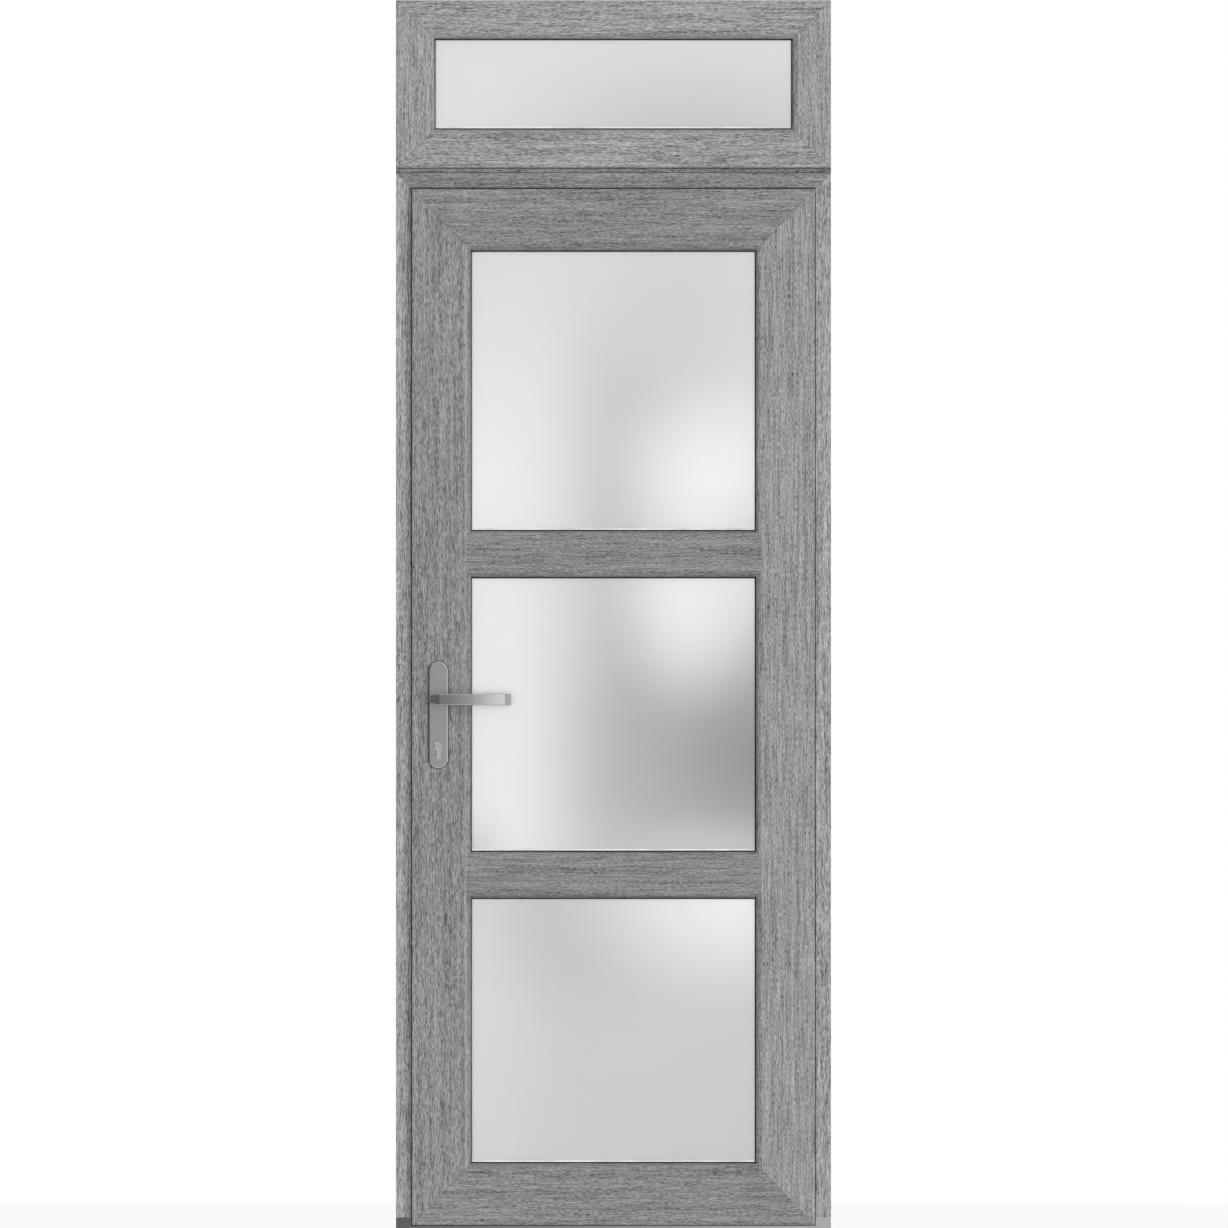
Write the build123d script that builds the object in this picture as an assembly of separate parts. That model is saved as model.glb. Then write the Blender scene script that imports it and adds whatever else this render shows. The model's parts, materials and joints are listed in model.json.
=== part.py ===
"""Prehung front door with a fixed toplight: foiled PVC frame and leaf, satin glazing, lever handles.

The origin is the centre of the threshold's underside. Seen from outside, +X is to the right,
+Y runs into the building and +Z is up. The leaf lies over the outer face of its frame and
opens outwards, towards -Y, on concealed hinges beside its right edge. Sizes are millimetres.
"""

import os

from build123d import *

# Overall sizes of the door frame and the toplight above it
WIDTH = 850.0
FRAME_HEIGHT = 2062.5
COUPLER_HEIGHT = 9.5
TOPLIGHT_HEIGHT = 328.0
DEPTH = 70.0
THRESHOLD_HEIGHT = 21.5

# Door frame section
REVEAL = 31.5
COVER = 8.0
REBATE_GAP = 12.0
UPSTAND = 18.0
UPSTAND_DEPTH = 16.0
EDGE_ROUND = 3.0

# Leaf section
LEAF_DEPTH = 70.0
LEAF_EDGE_ROUND = 1.5
FACE_GAP = 5.2
OVERLAP_DEPTH = 16.0
OVERLAP_BACK_ROUND = 5.0
STILE_FACE = 115.0
RAIL_FACE = 120.5
CROSS_RAIL_WIDTH = 90.0
LEAF_FLOOR_GAP = 7.0
UPPER_RAIL_Z = 1317.5
LOWER_RAIL_Z = 691.0

# Toplight section
TOPLIGHT_FACE = 75.5

# Glazing
GLASS_LIP = 20.0
LIP_DEPTH = 16.0
SLOPE_WIDTH = 11.0
SLOPE_DROP = 10.0
SLOPE_BULGE = 2.2
GASKET_SHOWS = 1.5
GASKET_DEPTH = 4.0
GASKET_BEHIND_LIP = 10.0
PANE_EDGE_COVER = 15.0
PANE = 4.0
UNIT_DEPTH = 24.0
SPACER_INSET = 2.0
SPACER_WIDTH = 9.0
BEAD_TOP_DROP = 6.0
BEAD_NOSE = 8.0
BEAD_ROUND = 3.0
BEAD_MITRE_GAP = 0.25

# Weather seals
SEAL_STANDS = 3.5
SEAL_WIDTH = 4.0
FRAME_SEAL_EDGE = 1.0
BRUSH_WIDTH = 10.0
BRUSH_CLEARANCE = 1.0

# Threshold
CAP_WALL = 6.0
RIB_COUNT = 7
RIB_PITCH = 6.0
RIB_WIDTH = 2.0
RIB_DEPTH = 0.8

# Concealed hinges
HINGE_FROM_ENDS = 213.0
HINGE_LENGTH = 100.0
AXIS_FROM_EDGE = 6.0
KNUCKLE_RADIUS = 5.0
PIN_RADIUS = 3.0
PIN_CLEARANCE = 0.05
FRAME_KNUCKLE = 40.0
KNUCKLE_GAP = 0.5
HINGE_PLATE = 3.0
HINGE_PLATE_REACH = 40.0
POCKET_CLEARANCE = 0.6

# Lock and keepers
FACEPLATE_FROM_ENDS = 160.0
FACEPLATE_WIDTH = 16.0
FACEPLATE_THICK = 3.0
LOCK_Y = -14.0
BOLT_STANDS = 6.0
LATCH_SIZE = (14.0, 32.0)
HOOK_SIZE = (8.0, 40.0)
HOOK_OFFSETS = (-520.0, 520.0)
KEEPER_WIDTH = 24.0
KEEPER_MARGIN = 30.0
KEEPER_POCKET = 14.0
BOLT_ROOM = 3.0

# Lever handles
SPINDLE_FROM_EDGE = 51.5
SPINDLE_Z = 1033.5
LOCK_CENTRES = 92.0
PLATE_WIDTH = 39.0
PLATE_LENGTH = 210.0
PLATE_ABOVE_SPINDLE = 75.0
PLATE_THICK = 9.0
PLATE_EDGE = 3.0
SPINDLE_SIDE = 8.0
SPINDLE_HOLE_RADIUS = 11.0
SOCKET_DEPTH = 18.0
SOCKET_CLEARANCE = 0.05
NECK_RADIUS = 10.0
NECK_CLEARANCE = 0.08
NECK_INTO_PLATE = 6.0
LEVER_HEIGHT = 22.0
LEVER_LENGTH = 144.0
LEVER_END_FACET = 14.0
LEVER_HEEL = 15.0
LEVER_HEEL_FACET = 17.0
LEVER_HEEL_HEIGHT = 16.0
LEVER_PROJECTION = 52.0
LEVER_BAR = 11.0
LEVER_BOW = 3.0
LEVER_NECK_HALF = 12.0
LEVER_CLEAR = 20.0
LEVER_EDGE = 1.5

# Euro profile cylinder
CYLINDER_RADIUS = 8.5
CYLINDER_TAIL_WIDTH = 10.0
CYLINDER_HEIGHT = 33.0
CYLINDER_CLEARANCE = 0.3
CYLINDER_STANDS = 2.5
CYLINDER_EDGE = 0.8
PLUG_RADIUS = 6.5
PLUG_RECESS = 0.6
KEYWAY = (2.2, 8.5)
KEYWAY_DEPTH = 12.0

# Wall fixings through the jambs
FIXING_RADIUS = 4.0
FIXING_Y = -8.0
FIXING_FROM_FLOOR = 120.0
FIXING_FROM_TOP = 142.5
FIXING_MID_SPACING = 640.0

# Planes and lines that several pieces share
HALF = WIDTH / 2
FRONT = -DEPTH / 2
BACK = DEPTH / 2
FRAME_FACE = REVEAL + COVER
UPSTAND_FRONT = BACK - UPSTAND_DEPTH
LEAF_HALF = HALF - REVEAL
LEAF_TOP = FRAME_HEIGHT - REVEAL
LEAF_BACK_OF_OVERLAP = FRONT - FACE_GAP
LEAF_FRONT = LEAF_BACK_OF_OVERLAP - OVERLAP_DEPTH
LEAF_BACK = LEAF_FRONT + LEAF_DEPTH
OVERLAP = COVER + REBATE_GAP
BODY_EDGE = LEAF_HALF - OVERLAP
REBATE_WALL = HALF - FRAME_FACE
RAIL_SCALE = RAIL_FACE / STILE_FACE
TOPLIGHT_BASE = FRAME_HEIGHT + COUPLER_HEIGHT
TOTAL_HEIGHT = TOPLIGHT_BASE + TOPLIGHT_HEIGHT
LEAF_LIP_BACK = LEAF_FRONT + LIP_DEPTH
TOPLIGHT_LIP_BACK = FRONT + LIP_DEPTH
HINGE_HEIGHTS = (
    LEAF_FLOOR_GAP + HINGE_FROM_ENDS,
    (LEAF_FLOOR_GAP + LEAF_TOP) / 2,
    LEAF_TOP - HINGE_FROM_ENDS,
)
AXIS_X = LEAF_HALF - AXIS_FROM_EDGE
AXIS_Y = LEAF_FRONT + OVERLAP_DEPTH / 2
SPINDLE_X = SPINDLE_FROM_EDGE - LEAF_HALF
LOCK_Z = SPINDLE_Z
CYLINDER_Z = SPINDLE_Z - LOCK_CENTRES
PLATE_TOP = SPINDLE_Z + PLATE_ABOVE_SPINDLE
FIXING_LAST = FRAME_HEIGHT - FIXING_FROM_TOP
FIXING_MIDDLE = (FIXING_FROM_FLOOR + FIXING_LAST) / 2
FIXING_HEIGHTS = (
    FIXING_FROM_FLOOR,
    FIXING_MIDDLE - FIXING_MID_SPACING / 2,
    FIXING_MIDDLE + FIXING_MID_SPACING / 2,
    FIXING_LAST,
)
FAR = 4 * TOTAL_HEIGHT

parts = {}


def save(name, *solids):
    """Keeps the solids of one named piece."""
    parts[name] = [s for shape in solids for s in shape.solids()]


def block(x0, x1, y0, y1, z0, z1):
    """A box between two corners."""
    return Pos((x0 + x1) / 2, (y0 + y1) / 2, (z0 + z1) / 2) * Box(x1 - x0, y1 - y0, z1 - z0)


def section(points, rounds, slopes=()):
    """A closed outline of (across, depth) points, with some of its corners rounded.

    The side that starts at each point named in slopes bulges outwards, as a soft edge over the glass.
    """
    sides = []
    for index, start in enumerate(points):
        end = points[(index + 1) % len(points)]
        sides.append(SagittaArc(start, end, -SLOPE_BULGE) if index in slopes else Line(start, end))
    face = make_face(sides)
    for index, radius in rounds.items():
        corner = face.vertices().sort_by_distance(Vector(*points[index], 0))[0]
        face = fillet(corner, radius)
    return face


def run(outline, start, across, along, length):
    """A straight profile: the outline's first axis points across, its second into the building."""
    return extrude(Plane(origin=start, x_dir=across, z_dir=along) * outline, amount=length)


def slab(points, y0, y1):
    """A prism with an outline of (x, z) points, between two depths."""
    plane = Plane(origin=(0, y0, 0), x_dir=(1, 0, 0), z_dir=(0, -1, 0))
    return extrude(plane * make_face(Polyline(*points, close=True)), amount=-(y1 - y0))


def mitred_ring(x0, x1, z0, z1, outlines, faces, gap=0.0):
    """Four profiles round a rectangle, cut to meet along the lines between its corners.

    The outlines and the face widths are those of the uprights, the top and the bottom.
    """
    upright_face, top_face, bottom_face = faces
    xi0, xi1 = x0 + upright_face, x1 - upright_face
    zi0, zi1 = z0 + bottom_face, z1 - top_face
    wide, tall = x1 - x0, z1 - z0
    left = run(outlines[0], (x0, 0, z0), (1, 0, 0), (0, 0, 1), tall)
    top = run(outlines[1], (x0, 0, z1), (0, 0, -1), (1, 0, 0), wide)
    right = run(outlines[0], (x1, 0, z1), (-1, 0, 0), (0, 0, -1), tall)
    bottom = run(outlines[2], (x1, 0, z0), (0, 0, 1), (-1, 0, 0), wide)
    keep = {
        "left": [(x0, z0 + gap), (x0, z1 - gap), (xi0, zi1 - gap), (xi0, zi0 + gap)],
        "top": [(x0 + gap, z1), (x1 - gap, z1), (xi1 - gap, zi1), (xi0 + gap, zi1)],
        "right": [(x1, z0 + gap), (x1, z1 - gap), (xi1, zi1 - gap), (xi1, zi0 + gap)],
        "bottom": [(x0 + gap, z0), (x1 - gap, z0), (xi1 - gap, zi0), (xi0 + gap, zi0)],
    }
    bars = {"left": left, "top": top, "right": right, "bottom": bottom}
    return {side: bars[side] & slab(keep[side], -FAR, FAR) for side in bars}


def frame_section():
    """Door frame profile: a face, a rebate and the upstand behind the leaf."""
    points = [
        (0, FRONT),
        (FRAME_FACE, FRONT),
        (FRAME_FACE, UPSTAND_FRONT),
        (FRAME_FACE + UPSTAND, UPSTAND_FRONT),
        (FRAME_FACE + UPSTAND, BACK),
        (0, BACK),
    ]
    return section(points, {1: EDGE_ROUND, 4: EDGE_ROUND})


def leaf_section(scale):
    """Leaf profile: an overlap at the outer edge, a body, and a soft-edged lip over the glass."""
    face = STILE_FACE * scale
    lip = GLASS_LIP * scale
    points = [
        (0, LEAF_FRONT),
        (face - SLOPE_WIDTH * scale, LEAF_FRONT),
        (face, LEAF_FRONT + SLOPE_DROP),
        (face, LEAF_LIP_BACK),
        (face - lip, LEAF_LIP_BACK),
        (face - lip, LEAF_BACK),
        (OVERLAP * scale, LEAF_BACK),
        (OVERLAP * scale, LEAF_BACK_OF_OVERLAP),
        (0, LEAF_BACK_OF_OVERLAP),
    ]
    return section(points, {0: LEAF_EDGE_ROUND, 8: OVERLAP_BACK_ROUND}, slopes=(1,))


def mid_rail_section():
    """Middle rail profile: a body with a soft-edged lip above and below."""
    half = CROSS_RAIL_WIDTH / 2
    lip = half - GLASS_LIP
    slope = half - SLOPE_WIDTH
    drop = LEAF_FRONT + SLOPE_DROP
    points = [(-slope, LEAF_FRONT), (slope, LEAF_FRONT), (half, drop), (half, LEAF_LIP_BACK)]
    points += [(lip, LEAF_LIP_BACK), (lip, LEAF_BACK), (-lip, LEAF_BACK)]
    points += [(-lip, LEAF_LIP_BACK), (-half, LEAF_LIP_BACK), (-half, drop)]
    return section(points, {}, slopes=(1, len(points) - 1))


def toplight_section():
    """Toplight profile: a broad face with a soft-edged lip over the glass."""
    points = [
        (0, FRONT),
        (TOPLIGHT_FACE - SLOPE_WIDTH, FRONT),
        (TOPLIGHT_FACE, FRONT + SLOPE_DROP),
        (TOPLIGHT_FACE, TOPLIGHT_LIP_BACK),
        (TOPLIGHT_FACE - GLASS_LIP, TOPLIGHT_LIP_BACK),
        (TOPLIGHT_FACE - GLASS_LIP, BACK),
        (0, BACK),
    ]
    return section(points, {0: EDGE_ROUND, 6: EDGE_ROUND}, slopes=(1,))


def bead_section(lip, glass_back, back):
    """Glazing bead: full height at the glass, sloping down towards the room."""
    points = [
        (0, glass_back),
        (lip, glass_back),
        (lip, glass_back + BEAD_NOSE),
        (lip - BEAD_TOP_DROP, back),
        (0, back),
    ]
    return section(points, {2: BEAD_ROUND})


def frame_around(x0, x1, z0, z1, wall, y0, y1):
    """A flat rectangular ring: wall is its width inside the outer rectangle."""
    inner = block(x0 + wall, x1 - wall, y0 - 1, y1 + 1, z0 + wall, z1 - wall)
    return block(x0, x1, y0, y1, z0, z1) - inner


def glaze(name, x0, x1, z0, z1, lip_back, back, lips):
    """Gasket, two panes, spacer and beads behind the lips of one opening, given by its lip edges.

    The lips are the depths of the rebate behind the uprights, the top and the bottom.
    """
    glass = lip_back + GASKET_DEPTH
    glass_back = glass + UNIT_DEPTH
    reach = PANE_EDGE_COVER
    behind = GASKET_BEHIND_LIP
    ring = GASKET_BEHIND_LIP + GASKET_SHOWS
    gasket = frame_around(x0 - behind, x1 + behind, z0 - behind, z1 + behind, ring, lip_back, glass)
    edges = (x0 - reach, x1 + reach)
    heights = (z0 - reach, z1 + reach)
    outer = block(*edges, glass, glass + PANE, *heights)
    inner = block(*edges, glass_back - PANE, glass_back, *heights)
    s0, s1 = (edges[0] + SPACER_INSET, edges[1] - SPACER_INSET)
    t0, t1 = (heights[0] + SPACER_INSET, heights[1] - SPACER_INSET)
    spacer = frame_around(s0, s1, t0, t1, SPACER_WIDTH, glass + PANE, glass_back - PANE)
    outlines = [bead_section(lip, glass_back, back) for lip in lips]
    walls = (x0 - lips[0], x1 + lips[0], z0 - lips[2], z1 + lips[1])
    beads = mitred_ring(*walls, outlines, lips, BEAD_MITRE_GAP)
    save(name + "_outer_pane", outer)
    save(name + "_inner_pane", inner)
    save(name + "_beads", *beads.values())
    return gasket, spacer


def euro_profile(grow, y0, y1):
    """The lock cylinder's keyhole shape, grown by a clearance."""
    radius = CYLINDER_RADIUS + grow
    half = CYLINDER_TAIL_WIDTH / 2 + grow
    tail = CYLINDER_Z + CYLINDER_RADIUS - CYLINDER_HEIGHT + CYLINDER_TAIL_WIDTH / 2
    round_part = rod_y(radius, SPINDLE_X, CYLINDER_Z, y0, y1)
    tail_end = rod_y(half, SPINDLE_X, tail, y0, y1)
    return round_part + tail_end + block(SPINDLE_X - half, SPINDLE_X + half, y0, y1, tail, CYLINDER_Z)


def rod_y(radius, x, z, y0, y1):
    """A round rod along the depth of the door."""
    plane = Plane(origin=(x, y0, z), x_dir=(1, 0, 0), z_dir=(0, 1, 0))
    return extrude(plane * Circle(radius), amount=y1 - y0)


def rod_z(radius, x, y, z0, z1):
    """An upright round rod."""
    return Pos(x, y, (z0 + z1) / 2) * Cylinder(radius, z1 - z0)


def make_threshold():
    """Aluminium threshold on a plastic core, with grip ribs along its top."""
    cap = block(-HALF, HALF, FRONT, BACK, 0, THRESHOLD_HEIGHT)
    room = (FRONT + CAP_WALL, BACK - CAP_WALL, 0, THRESHOLD_HEIGHT - CAP_WALL)
    cap -= block(-HALF - 1, HALF + 1, *room)
    for i in range(RIB_COUNT):
        middle = (i - (RIB_COUNT - 1) / 2) * RIB_PITCH
        depth = (middle - RIB_WIDTH / 2, middle + RIB_WIDTH / 2)
        jamb_inner = REBATE_WALL - UPSTAND
        cap -= block(-jamb_inner, jamb_inner, *depth, THRESHOLD_HEIGHT - RIB_DEPTH, THRESHOLD_HEIGHT + 1)
    save("threshold", cap)
    save("threshold_core", block(-HALF, HALF, *room))


def make_frame():
    """Two jambs and a head, mitred at the top and standing on the threshold."""
    face = FRAME_FACE + UPSTAND
    outline = frame_section()
    ring = mitred_ring(-HALF, HALF, -FRAME_HEIGHT, FRAME_HEIGHT, [outline] * 3, [face] * 3)
    above = block(-FAR, FAR, -FAR, FAR, THRESHOLD_HEIGHT, FAR)
    lock_jamb = ring["left"] & above
    hinge_jamb = ring["right"] & above
    for z in FIXING_HEIGHTS:
        plane = Plane(origin=(-HALF - 1, FIXING_Y, z), x_dir=(0, 1, 0), z_dir=(1, 0, 0))
        drill = extrude(plane * Circle(FIXING_RADIUS), amount=WIDTH + 2)
        lock_jamb -= drill
        hinge_jamb -= drill
    for keeper_cut in keeper_cuts():
        lock_jamb -= keeper_cut
    save("lock_jamb", lock_jamb)
    save("hinge_jamb", hinge_jamb)
    save("frame_head", ring["top"])
    save("coupling_strip", coupling_strip())


def coupling_strip():
    """Joining profile between the door frame and the toplight, set back from both faces."""
    inset = EDGE_ROUND + 1
    return block(-HALF, HALF, FRONT + inset, BACK - inset, FRAME_HEIGHT, TOPLIGHT_BASE)


def bolt_places():
    """Each lock point as (height, width, length)."""
    hooks = [(LOCK_Z + offset, *HOOK_SIZE) for offset in HOOK_OFFSETS]
    return [(LOCK_Z, *LATCH_SIZE), *hooks]


def keeper_cuts():
    """Seats and pockets in the lock jamb behind each keeper."""
    for z, wide, long in bolt_places():
        half = long / 2 + KEEPER_MARGIN
        depth = (LOCK_Y - KEEPER_WIDTH / 2, LOCK_Y + KEEPER_WIDTH / 2)
        yield block(-REBATE_WALL - FACEPLATE_THICK, -REBATE_WALL + 1, *depth, z - half, z + half)
        room = wide / 2 + BOLT_ROOM
        tall = long / 2 + BOLT_ROOM
        yield block(
            -REBATE_WALL - KEEPER_POCKET, -REBATE_WALL, LOCK_Y - room, LOCK_Y + room, z - tall, z + tall
        )


def make_keepers():
    """A flush keeper plate with a pocket opening for each lock point."""
    plates = []
    for z, wide, long in bolt_places():
        half = long / 2 + KEEPER_MARGIN
        room = wide / 2 + BOLT_ROOM
        tall = long / 2 + BOLT_ROOM
        skin = (-REBATE_WALL - FACEPLATE_THICK, -REBATE_WALL)
        plate = block(*skin, LOCK_Y - KEEPER_WIDTH / 2, LOCK_Y + KEEPER_WIDTH / 2, z - half, z + half)
        plates.append(plate - block(*skin, LOCK_Y - room, LOCK_Y + room, z - tall, z + tall))
    save("keepers", *plates)


def make_toplight():
    """A fixed light on top of the door frame."""
    outline = toplight_section()
    face = TOPLIGHT_FACE
    ring = mitred_ring(-HALF, HALF, TOPLIGHT_BASE, TOTAL_HEIGHT, [outline] * 3, [face] * 3)
    save("toplight_left_jamb", ring["left"])
    save("toplight_right_jamb", ring["right"])
    save("toplight_head", ring["top"])
    save("toplight_sill", ring["bottom"])
    lips = (-HALF + face, HALF - face, TOPLIGHT_BASE + face, TOTAL_HEIGHT - face)
    gasket, spacer = glaze("toplight", *lips, TOPLIGHT_LIP_BACK, BACK, [GLASS_LIP] * 3)
    save("toplight_gasket", gasket)
    save("toplight_spacer", spacer)


def hinge_pocket(z):
    """Room in the overlap for one hinge: round its knuckles, and out past the edge for its frame arm."""
    low = z - HINGE_LENGTH / 2 - POCKET_CLEARANCE
    high = z + HINGE_LENGTH / 2 + POCKET_CLEARANCE
    room = KNUCKLE_RADIUS + POCKET_CLEARANCE
    behind = block(BODY_EDGE, LEAF_HALF + 1, AXIS_Y - POCKET_CLEARANCE, LEAF_BACK_OF_OVERLAP + 1, low, high)
    return behind + rod_z(room, AXIS_X, AXIS_Y, low, high)


def make_leaf():
    """Two stiles and two rails mitred at the corners, with two middle rails between the stiles."""
    stile = leaf_section(1.0)
    rail = leaf_section(RAIL_SCALE)
    outer = (-LEAF_HALF, LEAF_HALF, LEAF_FLOOR_GAP, LEAF_TOP)
    ring = mitred_ring(*outer, [stile, rail, rail], [STILE_FACE, RAIL_FACE, RAIL_FACE])
    lock_stile, hinge_stile = ring["left"], ring["right"]
    plain_stiles = lock_stile + hinge_stile
    span = LEAF_HALF - STILE_FACE + GLASS_LIP
    for name, z in (("upper_mid_rail", UPPER_RAIL_Z), ("lower_mid_rail", LOWER_RAIL_Z)):
        bar = run(mid_rail_section(), (-span, 0, z), (0, 0, -1), (1, 0, 0), 2 * span)
        save(name, bar - plain_stiles)
    for z in HINGE_HEIGHTS:
        hinge_stile -= hinge_pocket(z)
    through = (LEAF_FRONT - 1, LEAF_BACK + 1)
    lock_stile -= rod_y(SPINDLE_HOLE_RADIUS, SPINDLE_X, SPINDLE_Z, *through)
    lock_stile -= euro_profile(CYLINDER_CLEARANCE, *through)
    lock_stile -= faceplate_block()
    save("lock_stile", lock_stile)
    save("hinge_stile", hinge_stile)
    save("top_rail", ring["top"])
    save("bottom_rail", ring["bottom"])


def glaze_leaf():
    """Glazing of the three openings of the leaf."""
    half = CROSS_RAIL_WIDTH / 2
    lips = (-LEAF_HALF + STILE_FACE, LEAF_HALF - STILE_FACE)
    rail_lip = GLASS_LIP * RAIL_SCALE
    openings = {
        "upper": (UPPER_RAIL_Z + half, LEAF_TOP - RAIL_FACE, rail_lip, GLASS_LIP),
        "middle": (LOWER_RAIL_Z + half, UPPER_RAIL_Z - half, GLASS_LIP, GLASS_LIP),
        "lower": (LEAF_FLOOR_GAP + RAIL_FACE, LOWER_RAIL_Z - half, GLASS_LIP, rail_lip),
    }
    gaskets, spacers = [], []
    for name, (z0, z1, top_lip, bottom_lip) in openings.items():
        rebates = [GLASS_LIP, top_lip, bottom_lip]
        gasket, spacer = glaze(name, *lips, z0, z1, LEAF_LIP_BACK, LEAF_BACK, rebates)
        gaskets.append(gasket)
        spacers.append(spacer)
    save("leaf_gaskets", *gaskets)
    save("leaf_spacers", *spacers)


def seal_ring(x0, x1, z0, z1, edge, y0, y1):
    """Four strips of seal round a rectangle, set in from its edge."""
    points = [(edge, y0), (edge + SEAL_WIDTH, y0), (edge + SEAL_WIDTH, y1), (edge, y1)]
    outline = section(points, {})
    face = edge + SEAL_WIDTH
    return mitred_ring(x0, x1, z0, z1, [outline] * 3, [face] * 3)


def make_seals():
    """Seals behind the leaf's overlap and on the frame's upstand, and a brush under the leaf."""
    outer = (-LEAF_HALF, LEAF_HALF, LEAF_FLOOR_GAP, LEAF_TOP)
    strip = (LEAF_BACK_OF_OVERLAP, LEAF_BACK_OF_OVERLAP + SEAL_STANDS)
    ring = seal_ring(*outer, OVERLAP_BACK_ROUND, *strip)
    right = ring["right"]
    for z in HINGE_HEIGHTS:
        half = HINGE_LENGTH / 2 + SEAL_STANDS
        right -= block(0, HALF, -FAR, FAR, z - half, z + half)
    save("leaf_seal", ring["left"] + ring["top"] + ring["bottom"], right)
    edge = FRAME_FACE + UPSTAND - FRAME_SEAL_EDGE - SEAL_WIDTH
    strip = (UPSTAND_FRONT - SEAL_STANDS, UPSTAND_FRONT)
    ring = seal_ring(-HALF, HALF, -FRAME_HEIGHT, FRAME_HEIGHT, edge, *strip)
    above = block(-FAR, FAR, -FAR, FAR, THRESHOLD_HEIGHT, FAR)
    save("frame_seal", (ring["left"] + ring["top"] + ring["right"]) & above)
    body_base = LEAF_FLOOR_GAP + OVERLAP * RAIL_SCALE
    middle = (LEAF_BACK_OF_OVERLAP + LEAF_BACK) / 2
    brush = (middle - BRUSH_WIDTH / 2, middle + BRUSH_WIDTH / 2)
    base = THRESHOLD_HEIGHT + BRUSH_CLEARANCE
    save("bottom_brush", block(-BODY_EDGE, BODY_EDGE, *brush, base, body_base))


def make_hinges():
    """Three concealed hinges: a frame half, and a leaf half with the pin fixed in its knuckles."""
    frame_halves, leaf_halves = [], []
    bore = PIN_RADIUS + PIN_CLEARANCE
    for z in HINGE_HEIGHTS:
        low, high = z - HINGE_LENGTH / 2, z + HINGE_LENGTH / 2
        mid_low, mid_high = z - FRAME_KNUCKLE / 2, z + FRAME_KNUCKLE / 2
        hole = rod_z(bore, AXIS_X, AXIS_Y, low - 1, high + 1)
        skin = (REBATE_WALL - HINGE_PLATE, REBATE_WALL)
        plate = block(*skin, FRONT, FRONT + HINGE_PLATE_REACH, low, high)
        arm = block(*skin, AXIS_Y, FRONT, mid_low, mid_high)
        knuckle = rod_z(KNUCKLE_RADIUS, AXIS_X, AXIS_Y, mid_low, mid_high)
        frame_halves.append(plate + arm + knuckle - hole)
        arm_back = AXIS_Y + KNUCKLE_RADIUS
        leaf_half = block(
            BODY_EDGE, BODY_EDGE + HINGE_PLATE, arm_back, LEAF_BACK_OF_OVERLAP + HINGE_PLATE_REACH, low, high
        )
        for z0, z1 in ((low, mid_low - KNUCKLE_GAP), (mid_high + KNUCKLE_GAP, high)):
            leaf_half += block(BODY_EDGE, AXIS_X, arm_back - HINGE_PLATE, arm_back, z0, z1)
            leaf_half += rod_z(KNUCKLE_RADIUS, AXIS_X, AXIS_Y, z0, z1)
        leaf_halves.append(leaf_half + rod_z(PIN_RADIUS, AXIS_X, AXIS_Y, low, high))
    save("hinge_frame_halves", *frame_halves)
    save("hinge_leaf_halves", *leaf_halves)


def faceplate_block():
    """The lock's long edge strip, let in flush with the leaf's edge."""
    skin = (-BODY_EDGE, -BODY_EDGE + FACEPLATE_THICK)
    depth = (LOCK_Y - FACEPLATE_WIDTH / 2, LOCK_Y + FACEPLATE_WIDTH / 2)
    return block(*skin, *depth, LEAF_FLOOR_GAP + FACEPLATE_FROM_ENDS, LEAF_TOP - FACEPLATE_FROM_ENDS)


def make_lock():
    """Edge strip, latch and hook noses, and the key cylinder."""
    noses = []
    for z, wide, long in bolt_places():
        skin = (-BODY_EDGE - BOLT_STANDS, -BODY_EDGE)
        nose = block(*skin, LOCK_Y - wide / 2, LOCK_Y + wide / 2, z - long / 2, z + long / 2)
        outer = nose.edges().filter_by(Axis.Z).group_by(Axis.X)[0]
        noses.append(fillet(outer, BOLT_STANDS / 3))
    save("lock_edge_strip", faceplate_block(), *noses)
    ends = (LEAF_FRONT - PLATE_THICK - CYLINDER_STANDS, LEAF_BACK + PLATE_THICK + CYLINDER_STANDS)
    cylinder = euro_profile(0.0, *ends)
    rims = [face.edges() for face in cylinder.faces().filter_by(Axis.Y)]
    cylinder = chamfer(rims[0] + rims[1], CYLINDER_EDGE)
    for end, inward in ((ends[0], 1), (ends[1], -1)):
        plug = sorted((end, end + inward * PLUG_RECESS))
        slot = sorted((end, end + inward * KEYWAY_DEPTH))
        half = KEYWAY[0] / 2
        cylinder -= rod_y(PLUG_RADIUS, SPINDLE_X, CYLINDER_Z, *plug)
        tall = KEYWAY[1] / 2
        cylinder -= block(SPINDLE_X - half, SPINDLE_X + half, *slot, CYLINDER_Z - tall, CYLINDER_Z + tall)
    save("lock_cylinder", cylinder)


def backplate(y_leaf, outward):
    """A long rounded handle plate on one face of the leaf, bored for the lever and the cylinder."""
    radius = PLATE_WIDTH / 2
    plane = Plane(
        origin=(SPINDLE_X, y_leaf, PLATE_TOP - PLATE_LENGTH / 2), x_dir=(0, 0, 1), z_dir=(0, outward, 0)
    )
    plate = extrude(plane * SlotOverall(PLATE_LENGTH, 2 * radius), amount=PLATE_THICK)
    rim = plate.faces().sort_by(Axis.Y)[0 if outward < 0 else -1].edges()
    plate = fillet(rim, PLATE_EDGE)
    depth = sorted((y_leaf - outward, y_leaf + outward * (PLATE_THICK + 1)))
    plate -= rod_y(NECK_RADIUS + NECK_CLEARANCE, SPINDLE_X, SPINDLE_Z, *depth)
    return plate - euro_profile(CYLINDER_CLEARANCE, *depth)


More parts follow.
